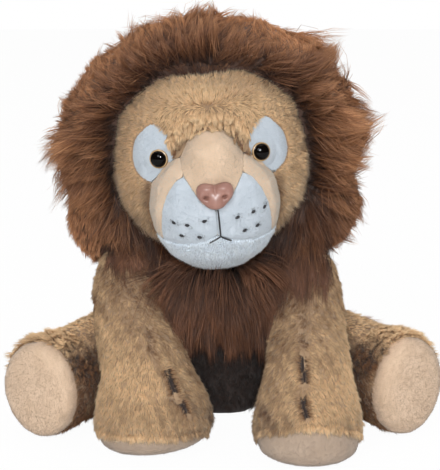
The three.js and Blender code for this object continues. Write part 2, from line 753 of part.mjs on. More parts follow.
function between(start, end, steps) {
  return Array.from({ length: steps + 1 }, (_, i) => [
    start[0] + ((end[0] - start[0]) * i) / steps,
    start[1] + ((end[1] - start[1]) * i) / steps,
  ]);
}

function mouthSolid(surface) {
  const fork = muzzlePoint([0, mouthShares.fork]);
  const top = muzzlePoint([0, mouthShares.top]);
  const line = threadOn(surface, between(top, fork, thread.lineSteps), thread.lineSteps);
  const arms = [-1, 1].map((sign) => threadOn(surface, [
    fork,
    muzzlePoint([(sign * mouthShares.smileOut) / 2, mouthShares.smileMiddle]),
    muzzlePoint([sign * mouthShares.smileOut, mouthShares.smileEnd]),
  ], thread.lineSteps));
  return joined([line, ...arms]);
}

function addHead(chestPiece) {
  const obstacles = headObstacles(chestPiece);
  const hollow = (inset) => stuffedForm(headForm, inset).subtract(neckHollow(inset));
  const muzzleShell = muzzleForm(0)
    .subtract(muzzleForm(plushWall))
    .subtract(stuffedForm(headForm, plushWall))
    .subtract(neckHollow(0))
    .subtract(obstacles);
  const faceSurface = stuffedForm(headForm).add(muzzleForm(0));

  const patches = {};
  const seats = {};
  for (const side of Object.keys(sides)) {
    patches[side] = patchOutline(side);
    seats[side] = faceSeat(faceSurface, sides[side] * eye.out, eye.z);
  }
  const noseSeat = faceSeat(faceSurface, 0, nose.z);
  const moulded = (grow) => joined([
    eyeSolid(seats.left, grow),
    eyeSolid(seats.right, grow),
    noseShank(noseSeat, grow),
  ]);
  const mouldedRoom = moulded(clearance);

  const shell = hollow(0).subtract(hollow(plushWall)).subtract(obstacles);
  const patchBlocks = joined(Object.values(patches).map((points) => faceBlock(points)));
  const skin = shell.subtract(muzzleForm(-clearance)).subtract(patchBlocks).subtract(mouldedRoom);
  piece('head_skin', largest(skin), materials.tanPlush);

  for (const side of Object.keys(sides)) {
    const block = faceBlock(grownOutline(patches[side], -clearance));
    const solid = shell.intersect(block).subtract(muzzleForm(-clearance)).subtract(mouldedRoom);
    piece(`eye_patch_${side}`, largest(solid), materials.whiteVelour);
  }

  const bridgeBlock = faceBlock(bridgeOutline());
  const bridgeRoom = faceBlock(grownOutline(bridgeOutline(), clearance));
  const panels = muzzleShell.subtract(mouldedRoom);
  piece('nose_bridge_panel', largest(panels.intersect(bridgeBlock)), materials.peachVelour);
  const chinHalf = chinOutlineShares.map(muzzlePoint);
  const chinOutline = [...chinHalf, ...mirrored(chinHalf.slice(1, -1), -1).reverse()];
  piece('chin_panel', largest(panels.intersect(faceBlock(chinOutline))), materials.whiteVelour);
  const chinRoom = faceBlock(grownOutline(chinOutline, clearance));
  for (const side of Object.keys(sides)) {
    const sign = sides[side];
    const halfBlock = beyond(vec((sign * clearance) / 2, 0, 0), axisX.clone().multiplyScalar(sign));
    const half = panels.intersect(halfBlock).subtract(bridgeRoom).subtract(chinRoom);
    const outline = mirrored(whiteOutlineShares.map(muzzlePoint), sign);
    piece(`muzzle_panel_${side}`, largest(half.intersect(faceBlock(outline))), materials.whiteVelour);
    const cheek = half.subtract(faceBlock(grownOutline(outline, clearance)));
    piece(`cheek_panel_${side}`, largest(cheek), materials.peachVelour);
  }

  let filling = hollow(plushWall + clearance).add(
    muzzleForm(plushWall + clearance).subtract(neckHollow(plushWall + clearance)).subtract(obstacles),
  );
  filling = filling.subtract(mouldedRoom);
  for (const side of Object.keys(sides)) {
    filling = filling.subtract(washerSolid(seats[side], eye.shankRadius, clearance));
    piece(`eye_${side}`, eyeSolid(seats[side], 0), materials.eyePlastic);
    piece(`eye_washer_${side}`, washerSolid(seats[side], eye.shankRadius, 0), materials.washerPlastic);
  }
  filling = filling.subtract(washerSolid(noseSeat, nose.shankRadius, clearance));
  piece('head_filling', largest(filling), materials.stuffing);

  const noseBody = noseSolid(noseSeat, 0)
    .subtract(muzzleForm(-clearance))
    .subtract(nostrils(noseSeat))
    .add(noseShank(noseSeat, 0));
  piece('nose', largest(noseBody), materials.noseVinyl);
  piece('nose_washer', washerSolid(noseSeat, nose.shankRadius, 0), materials.washerPlastic);

  const noseRoom = noseSolid(noseSeat, clearance);
  piece('mouth_stitch', largest(mouthSolid(muzzleForm(0)).subtract(noseRoom)), materials.blackThread);
  for (const side of Object.keys(sides)) {
    whiskerShares.forEach((share, i) => {
      const [x, z] = muzzlePoint([share[0] * sides[side], share[1]]);
      const half = thread.whiskerLength / 2;
      const stitch = threadOn(muzzleForm(0), [[x - half, z], [x, z], [x + half, z]], thread.whiskerSteps);
      piece(`whisker_stitch_${side}_${i + 1}`, stitch, materials.blackThread);
    });
  }

  const lean = radians(maneRimLeanDegrees);
  const front = beyond(vec(0, -mane.rim, 0), vec(0, -Math.cos(lean), -Math.sin(lean)));
  const drapes = Object.values(sides).map((sign) => ellipsoid(
    vec(sign * drape.out, drape.y, drape.z),
    drape.halfWidth,
    drape.halfDepth,
    drape.halfHeight,
  ));
  const crownSolid = ellipsoid(vec(0, mane.y, mane.z), mane.halfWidth, mane.halfDepth, mane.halfHeight);
  const maneSolid = joined([crownSolid, ...drapes])
    .subtract(stuffedForm(headForm, -clearance))
    .subtract(muzzleForm(-clearance))
    .subtract(front)
    .subtract(neckHollow(0))
    .subtract(obstacles);
  piece('mane', largest(maneSolid), materials.brownPile);
}

addBody();
addLegs();
addTail();
const chestPiece = piece('chest_pile', chestSolid(), materials.brownPile);
const headStart = parts.length;
addHead(chestPiece);

const group = new THREE.Group();
group.name = 'plush_lion';
const headGroup = new THREE.Group();
headGroup.name = 'head';
headPlace.decompose(headGroup.position, headGroup.quaternion, headGroup.scale);
group.add(headGroup);
parts.forEach(([name, solid, material], i) => {
  const mesh = new THREE.Mesh(geometryOf(solid), material());
  mesh.name = name;
  (i < headStart ? group : headGroup).add(mesh);
});

export default group;
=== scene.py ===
# A plush lion: its cloth, fur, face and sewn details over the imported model, in metres
import math

import bmesh
import bpy
import numpy as np
from mathutils import Matrix, Vector
from mathutils.bvhtree import BVHTree
from mathutils.kdtree import KDTree


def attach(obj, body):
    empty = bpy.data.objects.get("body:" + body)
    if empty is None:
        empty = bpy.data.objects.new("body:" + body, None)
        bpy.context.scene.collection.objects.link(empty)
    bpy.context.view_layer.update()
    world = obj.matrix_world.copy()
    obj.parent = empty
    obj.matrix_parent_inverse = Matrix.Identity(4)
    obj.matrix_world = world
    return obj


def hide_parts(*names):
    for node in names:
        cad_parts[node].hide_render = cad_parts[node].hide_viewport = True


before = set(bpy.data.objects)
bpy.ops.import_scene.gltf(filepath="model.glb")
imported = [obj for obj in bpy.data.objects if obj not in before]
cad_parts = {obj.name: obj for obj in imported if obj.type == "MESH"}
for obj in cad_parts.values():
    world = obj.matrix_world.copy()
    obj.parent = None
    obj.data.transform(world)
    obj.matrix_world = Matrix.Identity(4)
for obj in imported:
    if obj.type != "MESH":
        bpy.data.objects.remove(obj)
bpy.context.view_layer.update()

MM = 0.001
rng = np.random.default_rng(7)
DENSITY = 1.0  # share of the strands that are grown
MOST_FACES = 195000  # a fur piece is split before it reaches this many triangles
DOWN = np.array([0.0, 0.0, -1.0])


def mm(*numbers):
    return np.array(numbers, dtype=float) * MM


def unit(vectors):
    return vectors / np.maximum(np.linalg.norm(vectors, axis=-1, keepdims=True), 1e-12)


def smooth_step(low, high, values):
    """From 0 at low to 1 at high, the other way round where low is the larger."""
    t = np.clip((values - low) / (high - low), 0, 1)
    return t * t * (3 - 2 * t)


def step_mm(low, high, values):
    return smooth_step(low * MM, high * MM, values)


def bell(values, width, others=0, other_width=1):
    """1 where the values are zero, fading to 0 past their widths."""
    return np.exp(-(values / width) ** 2 - (others / other_width) ** 2)


def mix(a, b, share):
    return a + (b - a) * share


# Camera
TARGET = Vector(mm(0, 0, 132.2))
DISTANCE = 1034 * MM
ELEVATION = math.radians(14)
FOCAL_PIXELS = 1369
FRAME_PIXELS = (440, 470)
SENSOR = 36


def add_camera():
    data = bpy.data.cameras.new("camera")
    data.sensor_width = SENSOR
    data.lens = FOCAL_PIXELS * SENSOR / FRAME_PIXELS[1]
    data.clip_start = 0.05
    data.clip_end = 50
    camera = bpy.data.objects.new("camera", data)
    bpy.context.scene.collection.objects.link(camera)
    camera.location = TARGET + DISTANCE * Vector((0, -math.cos(ELEVATION), math.sin(ELEVATION)))
    camera.rotation_euler = (TARGET - camera.location).to_track_quat("-Z", "Y").to_euler()
    bpy.context.scene.camera = camera


# Materials

WHITE = (1, 1, 1, 1)


def set_inputs(node, values):
    for socket, value in values.items():
        node.inputs[socket].default_value = value


def new_material(name):
    material = bpy.data.materials.new(name)
    material.use_nodes = True
    nodes = material.node_tree.nodes
    return material, nodes, material.node_tree.links, nodes["Principled BSDF"]


def ramp_color(nodes, links, share, stops):
    """Colours by a share, from stops that each have a place and a colour."""
    ramp = nodes.new("ShaderNodeValToRGB")
    links.new(share, ramp.inputs["Fac"])
    elements = ramp.color_ramp.elements
    for element, (place, rgb) in zip(elements, (stops[0], stops[-1])):
        element.position = place
        element.color = (*rgb, 1)
    for place, rgb in stops[1:-1]:
        elements.new(place).color = (*rgb, 1)
    return ramp.outputs["Color"]


def fur_material(name, dark_stops, light_stops, roughness=0.75, sheen=0.15):
    """Strands: v of the UV map runs from root to tip, and u from the dark shade to the light one."""
    material, nodes, links, surface = new_material(name)
    place = nodes.new("ShaderNodeUVMap")
    place.uv_map = "OFBake"
    split = nodes.new("ShaderNodeSeparateXYZ")
    links.new(place.outputs["UV"], split.inputs["Vector"])
    blend = nodes.new("ShaderNodeMix")
    blend.data_type = "RGBA"
    links.new(split.outputs["X"], blend.inputs["Factor"])
    for socket, stops in (("A", dark_stops), ("B", light_stops)):
        links.new(ramp_color(nodes, links, split.outputs["Y"], stops), blend.inputs[socket])
    links.new(blend.outputs["Result"], surface.inputs["Base Color"])
    set_inputs(surface, {"Roughness": roughness, "Specular IOR Level": 0.25,
                         "Sheen Weight": sheen, "Sheen Roughness": 0.4})
    return material


def grained_material(name, stops, blotch, grain, strength, depth, values):
    """Shades in soft blotches, with a fine grain in the bump. blotch is a scale and a detail."""
    material, nodes, links, surface = new_material(name)
    place = nodes.new("ShaderNodeTexCoord")

    def noise(scale, detail):
        node = nodes.new("ShaderNodeTexNoise")
        set_inputs(node, {"Scale": scale, "Detail": detail})
        links.new(place.outputs["Object"], node.inputs["Vector"])
        return node.outputs["Fac"]

    links.new(ramp_color(nodes, links, noise(*blotch), stops), surface.inputs["Base Color"])
    bump = nodes.new("ShaderNodeBump")
    set_inputs(bump, {"Strength": strength, "Distance": depth})
    links.new(noise(grain, 2), bump.inputs["Height"])
    links.new(bump.outputs["Normal"], surface.inputs["Normal"])
    set_inputs(surface, values)
    return material


def cloth_material(name, rgb, shade, scale, depth, roughness=0.9):
    """Short velour, backing or thread."""
    values = {"Roughness": roughness, "Specular IOR Level": 0.2, "Sheen Weight": 0.3,
              "Sheen Roughness": 0.5}
    return grained_material(name, [(0.3, shade), (0.7, rgb)], (scale, 4), 2600, 0.5, depth * MM, values)


def plastic_material(name, rgb, shade, roughness, depth=0.05, gloss=0.5):
    """Moulded plastic: a slight cloud in its colour and a fine grain."""
    values = {"Roughness": roughness, "Specular IOR Level": gloss}
    return grained_material(name, [(0.35, shade), (0.65, rgb)], (90, 2), 900, 0.3, depth * MM, values)


# Linear colours from root to tip of the darkest strands and of the lightest, with roughness and sheen
# Dark-rooted strands: the pile's own dark roots with painted shade, for the partings' lashes and the gaps
# between the brow's locks
PARTING_SHADE_STOPS = [(0.0, (0.012, 0.006, 0.004)), (0.3, (0.045, 0.02, 0.01)), (0.55, (0.24, 0.12, 0.05)),
          (1.0, (0.6, 0.4, 0.22))]
FURS = {
    # The dark strands of tan and brown fur also carry painted shade, where a shade function lowers u
    "tan_fur": ([(0.0, (0.035, 0.012, 0.004)), (0.3, (0.085, 0.031, 0.01)), (0.65, (0.16, 0.064, 0.021)),
                 (1.0, (0.25, 0.108, 0.038))],
                [(0.0, (0.42, 0.23, 0.10)), (0.3, (0.75, 0.48, 0.25)), (0.65, (0.90, 0.63, 0.36)),
                 (1.0, (0.98, 0.76, 0.48))]),
    "brown_fur": ([(0.0, (0.025, 0.009, 0.004)), (0.4, (0.085, 0.03, 0.012)), (1.0, (0.21, 0.08, 0.032))],
                  [(0.0, (0.12, 0.045, 0.018)), (0.4, (0.47, 0.20, 0.082)), (1.0, (0.86, 0.45, 0.22))],
                  0.6, 0.03),
    "chest_fur": ([(0, (0.012, 0.005, 0.003)), (1, (0.06, 0.022, 0.011))],
                  [(0, (0.06, 0.024, 0.012)), (1, (0.34, 0.14, 0.065))], 0.65, 0.03),
    # Belly pile: its dark brown with the shade under the chest painted in
    "belly_fur_shaded": ([(0, (0.006, 0.003, 0.002)), (1, (0.035, 0.014, 0.008))],
                  [(0, (0.01, 0.005, 0.003)), (1, (0.075, 0.032, 0.018))], 0.8, 0.05),
    "parting_shade_fur": (PARTING_SHADE_STOPS, PARTING_SHADE_STOPS),
}
# Root and tip of the darkest strands of a velour's nap, then of the lightest
NAPS = {
    "peach_nap": ((0.42, 0.325, 0.235), (0.51, 0.415, 0.315), (0.49, 0.40, 0.30), (0.59, 0.52, 0.42)),
    "cheek_nap": ((0.48, 0.42, 0.35), (0.58, 0.52, 0.44), (0.56, 0.50, 0.42), (0.67, 0.63, 0.55)),
    # The front pads' nap is the peach velour darkened: painted shade of the paws' undersides
    "pad_nap": ((0.30, 0.22, 0.165), (0.38, 0.29, 0.225), (0.36, 0.275, 0.215), (0.45, 0.365, 0.305)),
    "sole_nap": ((0.38, 0.265, 0.18), (0.47, 0.345, 0.24), (0.45, 0.33, 0.235), (0.56, 0.435, 0.33)),
    "white_nap": ((0.39, 0.44, 0.495), (0.49, 0.555, 0.615), (0.48, 0.54, 0.60), (0.62, 0.69, 0.755)),
    # The chin's nap is lighter than the muzzle's white: painted light against the shade that the chin faces
    # down into
    "chin_nap": ((0.68, 0.78, 0.89), (0.82, 0.91, 0.99), (0.78, 0.87, 0.97), (0.94, 0.99, 1.0)),
}
# Two shades of a cloth, the scale of its blotches, the depth of its grain in mm, and its roughness
CLOTHS = {
    # Backing under the tan pile, darkened past its own tan: painted shade where it shows between the
    # strands
    "tan_cloth": ((0.36, 0.24, 0.14), (0.27, 0.17, 0.095), 120, 0.6),
    # Near black: painted shade in the partings' gaps, and under the chest's pile its dark brown with the
    # shade there painted in
    "dark_cloth": ((0.03, 0.014, 0.009), (0.015, 0.007, 0.005), 300, 0.4),
    "brown_cloth": ((0.085, 0.04, 0.024), (0.04, 0.018, 0.011), 120, 0.6),
    "peach_cloth": ((0.66, 0.49, 0.35), (0.58, 0.42, 0.29), 90, 0.3),
    # The front pads' cloth is the peach cloth darkened: painted shade of the paws' undersides
    "pad_cloth": ((0.42, 0.32, 0.24), (0.35, 0.26, 0.19), 90, 0.3),
    "white_cloth": ((0.50, 0.55, 0.60), (0.44, 0.49, 0.54), 90, 0.3),
    "stuffing": ((0.9, 0.89, 0.86), (0.8, 0.79, 0.75), 300, 1.2),
    "pellet_cloth": ((0.78, 0.75, 0.68), (0.66, 0.63, 0.56), 500, 0.3),
    "thread": ((0.02, 0.02, 0.025), (0.008, 0.008, 0.01), 900, 0.2, 0.7),
}
# Two shades of a plastic, its roughness, the depth of its grain in mm, and its gloss
PLASTICS = {
    "nose": ((0.33, 0.175, 0.14), (0.275, 0.14, 0.11), 0.4, 0.05, 0.25),
    "eye_black": ((0.0012, 0.001, 0.001), (0.003, 0.002, 0.0015), 0.05, 0.0, 0.12),
    "eye_ring": ((0.54, 0.36, 0.18), (0.32, 0.20, 0.09), 0.25, 0.0),
    "washer": ((0.85, 0.85, 0.83), (0.8, 0.8, 0.78), 0.4),
}
materials = {name: fur_material(name, *values) for name, values in FURS.items()}
for name, (dark_root, dark_tip, root, tip) in NAPS.items():
    materials[name] = fur_material(name, [(0, dark_root), (1, dark_tip)], [(0, root), (1, tip)], 0.9, 0.2)
materials |= {name: cloth_material(name, *values) for name, values in CLOTHS.items()}
materials |= {name: plastic_material(name, *values) for name, values in PLASTICS.items()}


# Meshes

def new_object(name, mesh, body, material, replaced=()):
    piece = bpy.data.objects.new(name, mesh)
    bpy.context.scene.collection.objects.link(piece)
    mesh.materials.clear()
    mesh.materials.append(materials[material])
    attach(piece, body)
    if replaced:
        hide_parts(*replaced)


def mesh_of(points, faces, name="mesh"):
    mesh = bpy.data.meshes.new(name)
    mesh.from_pydata([tuple(p) for p in points], [], [tuple(f) for f in faces])
    mesh.update()
    return mesh


def shade_smooth(mesh):
    mesh.polygons.foreach_set("use_smooth", np.ones(len(mesh.polygons), dtype=bool))


def triples(items, field, kind=float):
    flat = np.empty(len(items) * 3, dtype=kind)
    items.foreach_get(field, flat)
    return flat.reshape(-1, 3)


def points_of(mesh):
    return triples(mesh.vertices, "co")


def normals_of(mesh):
    return triples(mesh.vertex_normals, "vector")


def triangles_of(mesh):
    mesh.calc_loop_triangles()
    return triples(mesh.loop_triangles, "vertices", np.int32)


def move_points(mesh, points):
    mesh.vertices.foreach_set("co", points.astype(np.float32).ravel())
    mesh.update()


def merged(meshes):
    """One mesh that holds copies of all of these."""
    points, faces, start = [], [], 0
    for mesh in meshes:
        points.append(points_of(mesh))
        faces.append(triangles_of(mesh) + start)
        start += len(mesh.vertices)
    return mesh_of(np.concatenate(points), np.concatenate(faces))


def remeshed(mesh, voxel, rounds):
    """One closed smooth skin round the whole of a mesh."""
    holder = bpy.data.objects.new("holder", mesh)
    bpy.context.scene.collection.objects.link(holder)
    remesh = holder.modifiers.new("remesh", "REMESH")
    remesh.mode = "VOXEL"
    remesh.voxel_size = voxel
    relax = holder.modifiers.new("relax", "SMOOTH")
    relax.factor = 0.5
    relax.iterations = rounds
    depsgraph = bpy.context.evaluated_depsgraph_get()
    result = bpy.data.meshes.new_from_object(holder.evaluated_get(depsgraph))
    bpy.data.objects.remove(holder)
    keep_largest(result)
    shade_smooth(result)
    return result


def keep_largest(mesh):
    """Drops every island but the largest."""
    work = bmesh.new()
    work.from_mesh(mesh)
    work.verts.ensure_lookup_table()
    label = [-1] * len(work.verts)
    sizes = []
    for seed in work.verts:
        if label[seed.index] >= 0:
            continue
        stack = [seed]
        label[seed.index] = len(sizes)
        count = 0
        while stack:
            vert = stack.pop()
            count += 1
            for edge in vert.link_edges:
                other = edge.other_vert(vert)
                if label[other.index] < 0:
                    label[other.index] = len(sizes)
                    stack.append(other)
        sizes.append(count)
    best = sizes.index(max(sizes))
    bmesh.ops.delete(work, geom=[v for v in work.verts if label[v.index] != best], context="VERTS")
    work.to_mesh(mesh)
    work.free()
    mesh.update()


def core_of(nodes, voxel, rounds):
    """The rounded outside of some CAD nodes together."""
    return remeshed(merged([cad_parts[n].data for n in nodes]), voxel, rounds)


def tree_of(mesh):
    points = [tuple(p) for p in points_of(mesh)]
    return BVHTree.FromPolygons(points, [tuple(t) for t in triangles_of(mesh).tolist()])


def on_surface(tree, points):
    """The nearest places on a form, and the way that it faces there."""
    near = [tree.find_nearest(p) for p in points]
    return np.array([n[0] for n in near]), np.array([n[1] for n in near])


# Fur

ROOT_DEPTH = 0.4 * MM  # how far under the skin strands start
LOWEST = 0.2 * MM  # height that no strand goes below
TAPER = 0.75  # share of its width that a strand loses before its tip


def roots_on(mesh, per_mm2, keep=None):
    """Random places on a mesh with their outward directions."""
    points, normals, corners = points_of(mesh), normals_of(mesh), triangles_of(mesh)
    a, b, c = (points[corners[:, k]] for k in range(3))
    area = np.linalg.norm(np.cross(b - a, c - a), axis=1) / 2
    if keep is not None:
        area = area * keep((a + b + c) / 3)
    count = int(area.sum() / MM ** 2 * per_mm2 * DENSITY)
    which = rng.choice(len(corners), size=count, p=area / area.sum())
    u, v = rng.random(count), rng.random(count)
    flip = u + v > 1
    u[flip], v[flip] = 1 - u[flip], 1 - v[flip]
    w = 1 - u - v
    shares = np.stack([w, u, v], axis=1)[:, :, None]
    place = (points[corners[which]] * shares).sum(axis=1)
    out = unit((normals[corners[which]] * shares).sum(axis=1))
    return place, out


def kd_tree(points):
    tree = KDTree(len(points))
    for i, p in enumerate(points):
        tree.insert(p, i)
    tree.balance()
    return tree


def nearest(tree_points, points):
    """Which of the first points is the nearest to each of the others."""
    tree = kd_tree(tree_points)
    return np.array([tree.find(p)[1] for p in points])


def bumps(points, scale, seed):
    """Soft noise from -1 to 1 at each point, with blobs about this many mm across."""
    local = np.random.default_rng(seed)
    total = np.zeros(len(points))
    for _ in range(6):
        direction = unit(local.normal(size=3)) / (scale * MM) * local.uniform(2, 4.5)
        total += np.sin(points @ direction + local.uniform(0, 2 * math.pi))
    return total / 3


def fur_paths(place, out, flow, length, lift, steps, droop=0.0, curve=0.5, locks=None, tight=0.6,
              scatter=0.15):
    """Middle lines of strands, and the lock of each one.

    lift is how far they stand off the skin at the root, and tight how far a lock draws them together.
    locks gives the strands in a lock, how far locks lean apart and how unequal their lengths are.
    """
    count = len(place)
    member = np.arange(count)
    lift = np.broadcast_to(lift, count)[:, None]
    flow = unit(flow - out * (flow * out).sum(axis=1, keepdims=True))
    jitter = rng.normal(size=(count, 3)) * scatter
    if locks:
        strands, spread, uneven = locks
        heads = rng.choice(count, size=max(int(count / strands), 1), replace=False)
        member = nearest(place[heads], place)
        own = rng.normal(size=(len(heads), 3)) * spread
        reach = 1 + rng.normal(size=len(heads)) * uneven
        jitter = jitter + own[member]
        length = length * np.clip(reach[member], 0.5, 1.6)
    length = length * rng.uniform(0.8, 1.1, size=count)
    start = unit(out * lift + flow * (1 - lift) + jitter)
    end = unit(flow + out * (lift * (1 - curve)) + jitter * 1.3 + DOWN * droop)
    paths = np.empty((count, steps + 1, 3))
    paths[:, 0] = place - out * ROOT_DEPTH
    for k in range(1, steps + 1):
        direction = unit(mix(start, end, (k - 0.5) / steps))
        paths[:, k] = paths[:, k - 1] + direction * (length / steps)[:, None]
    if locks:
        middle = paths[heads][member]
        pull = tight * (np.arange(steps + 1) / steps) ** 1.3
        paths += (middle - paths) * pull[None, :, None] * rng.uniform(0.7, 1, size=(count, 1, 1))
    return paths, member


def add_strands(name, body, material, paths, radius, shade):
    """Strands as closed three-sided tapering tubes, in pieces that the export can take."""
    paths[:, :, 2] = np.maximum(paths[:, :, 2], LOWEST)
    count = len(paths)
    faces_each = (paths.shape[1] - 2) * 6 + 4
    pieces = max(math.ceil(count / (MOST_FACES // faces_each)), 1)
    for part in range(pieces):
        chosen = slice(part * count // pieces, (part + 1) * count // pieces)
        label = name if pieces == 1 else f"{name}_{part + 1}"
        new_object(label, strand_mesh(paths[chosen], radius, shade[chosen]), body, material)


def strand_mesh(paths, radius, shade):
    count, rings = paths.shape[0], paths.shape[1] - 1
    stride = rings * 3 + 1
    along = unit(np.diff(paths, axis=1))
    tangent = np.concatenate([along[:, :1], along], axis=1)
    side = unit(np.cross(tangent, np.roll(tangent[:, :1], 1, axis=2) + np.array([0.3, 0.1, 0.7])))
    other = np.cross(tangent, side)
    size = radius * (1 - (np.arange(rings) / rings) ** 2 * TAPER)[:, None]
    corners = []
    for k in range(3):
        angle = 2 * math.pi * k / 3
        around = side[:, :rings] * math.cos(angle) + other[:, :rings] * math.sin(angle)
        corners.append(paths[:, :rings] + around * size)
    points = np.stack(corners, axis=2).reshape(count, rings * 3, 3)
    points = np.concatenate([points, paths[:, -1:]], axis=1)
    corner = np.arange(3)
    after = (corner + 1) % 3
    row = np.arange(rings - 1)[:, None] * 3
    last = (rings - 1) * 3
    quads = np.stack([row + corner, row + after, row + 3 + after, row + 3 + corner], axis=-1).reshape(-1, 4)
    tips = np.array([*zip(last + corner, last + after, [stride - 1] * 3), (2, 1, 0)])
    offsets = (np.arange(count) * stride)[:, None, None]
    quad_loops = (quads[None] + offsets).reshape(-1, 4)
    tip_loops = (tips[None] + offsets).reshape(-1, 3)
    loops = np.concatenate([quad_loops.ravel(), tip_loops.ravel()])
    totals = np.concatenate([np.full(len(quad_loops), 4), np.full(len(tip_loops), 3)])
    mesh = bpy.data.meshes.new("strands")
    mesh.vertices.add(count * stride)
    mesh.vertices.foreach_set("co", points.astype(np.float32).ravel())
    mesh.loops.add(len(loops))
    mesh.loops.foreach_set("vertex_index", loops.astype(np.int32))
    mesh.polygons.add(len(totals))
    starts = np.concatenate([[0], np.cumsum(totals)[:-1]])
    mesh.polygons.foreach_set("loop_start", starts.astype(np.int32))
    mesh.update()
    levels = np.concatenate([np.repeat(np.arange(rings) / rings, 3), [1.0]])
    v = np.tile(levels, count)[loops]
    u = np.repeat(np.clip(shade, 0.002, 0.998), stride)[loops]
    layer = mesh.uv_layers.new(name="OFBake")
    layer.data.foreach_set("uv", np.stack([u, v * 0.98 + 0.01], axis=1).astype(np.float32).ravel())
    shade_smooth(mesh)
    mesh.validate()
    return mesh


# Middle lines of the limbs, from the root to the sole
LIMB_LINES = {
    "front_leg_left": [mm(60, 1, 118), mm(63, -37, 86), mm(62, -102, 42), mm(61, -103, 0)],
    "front_leg_right": [mm(-63, 1, 118), mm(-67, -33, 86), mm(-50, -88, 42), mm(-46, -89, 0)],
    "hind_leg_left": [mm(48, 25, 38), mm(82, 2, 38), mm(112, -38, 38), mm(141, -79, 38)],
    "hind_leg_right": [mm(-48, 25, 38), mm(-80, 0, 38), mm(-108, -44, 38), mm(-134, -87, 38)],
    "tail": [mm(0, 76, 16), mm(14, 108, 8), mm(52, 124, 8), mm(88, 118, 8)],
}


LINE_PLACES = 60  # about how many places a smooth line is cut into


def fine_line(points):
    """Places along a smooth curve through a few points."""
    points = [2 * points[0] - points[1], *points, 2 * points[-1] - points[-2]]
    result = []
    for p0, p1, p2, p3 in zip(points, points[1:], points[2:], points[3:]):
        for t in np.linspace(0, 1, LINE_PLACES // (len(points) - 3), endpoint=False):
            result.append(0.5 * (2 * p1 + (p2 - p0) * t + (2 * p0 - 5 * p1 + 4 * p2 - p3) * t ** 2
                                 + (3 * p1 - p0 - 3 * p2 + p3) * t ** 3))
    return np.array([*result, points[-2]])


def along_line(line, points):
    """Direction of a line at its nearest place to each point, the share along it, and that place."""
    fine = fine_line(line)
    tangents = unit(np.gradient(fine, axis=0))
    index = nearest(fine, points)
    return tangents[index], index / (len(fine) - 1), fine[index]


# Head frame
HEAD_ORIGIN = mm(-7.5, -12, 202)
HEAD_TURN = Matrix.Rotation(math.radians(2), 3, "Z") @ Matrix.Rotation(math.radians(-4), 3, "Y")
HEAD_MATRIX = np.array(HEAD_TURN)


def to_head(points):
    return (points - HEAD_ORIGIN) @ HEAD_MATRIX


def from_head(points):
    return points @ HEAD_MATRIX.T + HEAD_ORIGIN


# Surroundings

LIGHT_AIM = Vector((0, 0, 0.12))
FLOOR_HALF = 3
FLOOR_GLOW = 0.97  # how much of the floor that the camera sees is a plain glow
# How bright the world is to all that it lights, to what mirrors it, and to the camera
GREY_WORLD, DIM_WORLD, WHITE_WORLD = 0.42, 0.06, 1.0


def mixed_shader(nodes, links, share, first, second):
    blend = nodes.new("ShaderNodeMixShader")
    for socket, source in ((0, share), (1, first), (2, second)):
        links.new(source, blend.inputs[socket])
    return blend.outputs["Shader"]


def add_floor():
    """A white floor that shows a faint shadow."""
    corners = [(x * FLOOR_HALF, y * FLOOR_HALF, 0) for x, y in ((-1, -1), (1, -1), (1, 1), (-1, 1))]
    mesh = mesh_of(corners, [(0, 1, 2, 3)], "floor")
    floor = bpy.data.objects.new("floor", mesh)
    bpy.context.scene.collection.objects.link(floor)
    material, nodes, links, surface = new_material("floor")
    set_inputs(surface, {"Base Color": (0.9, 0.9, 0.9, 1), "Roughness": 0.9})
    glow = nodes.new("ShaderNodeEmission")
    set_inputs(glow, {"Color": WHITE})
    ray = nodes.new("ShaderNodeLightPath")
    share = nodes.new("ShaderNodeMath")
    share.operation = "MULTIPLY"
    set_inputs(share, {1: FLOOR_GLOW})
    links.new(ray.outputs["Is Camera Ray"], share.inputs[0])
    blend = mixed_shader(nodes, links, share.outputs[0], surface.outputs["BSDF"], glow.outputs["Emission"])
    links.new(blend, nodes["Material Output"].inputs["Surface"])
    mesh.materials.append(material)


def add_light(name, place, size, power, glossy=True, diffuse=True):
    data = bpy.data.lights.new(name, "AREA")
    data.shape = "DISK"
    data.size = size
    data.energy = power
    lamp = bpy.data.objects.new(name, data)
    bpy.context.scene.collection.objects.link(lamp)
    lamp.location = place
    lamp.visible_glossy = glossy
    lamp.visible_diffuse = diffuse
    lamp.rotation_euler = (LIGHT_AIM - Vector(place)).to_track_quat("-Z", "Y").to_euler()


def add_world():
    """White to the camera, dim to what mirrors it and grey to all else."""
    world = bpy.data.worlds.new("world")
    world.use_nodes = True
    bpy.context.scene.world = world
    nodes, links = world.node_tree.nodes, world.node_tree.links

    def background(node, strength):
        set_inputs(node, {"Color": WHITE, "Strength": strength})
        return node.outputs["Background"]

    grey = background(nodes["Background"], GREY_WORLD)
    dim = background(nodes.new("ShaderNodeBackground"), DIM_WORLD)
    white = background(nodes.new("ShaderNodeBackground"), WHITE_WORLD)
    ray = nodes.new("ShaderNodeLightPath")
    blend = mixed_shader(nodes, links, ray.outputs["Is Glossy Ray"], grey, dim)
    blend = mixed_shader(nodes, links, ray.outputs["Is Camera Ray"], blend, white)
    links.new(blend, nodes["World Output"].inputs["Surface"])


# Sewn forms cut into their panels

def distances_to(mesh, points):
    tree = tree_of(mesh)
    return np.array([tree.find_nearest(p)[3] for p in points])


def sides_of(corners):
    return np.concatenate([corners[:, [0, 1]], corners[:, [1, 2]], corners[:, [2, 0]]])


def neighbour_mean(values, corners, rounds):
    """Values at vertices, each evened out with those next to it."""
    pairs = sides_of(corners)
    pairs = np.concatenate([pairs, pairs[:, ::-1]])
    counts = np.bincount(pairs[:, 0], minlength=len(values))
    for _ in range(rounds):
        total = np.bincount(pairs[:, 0], weights=values[pairs[:, 1]], minlength=len(values))
        values = (values + total / np.maximum(counts, 1)) / 2
    return values


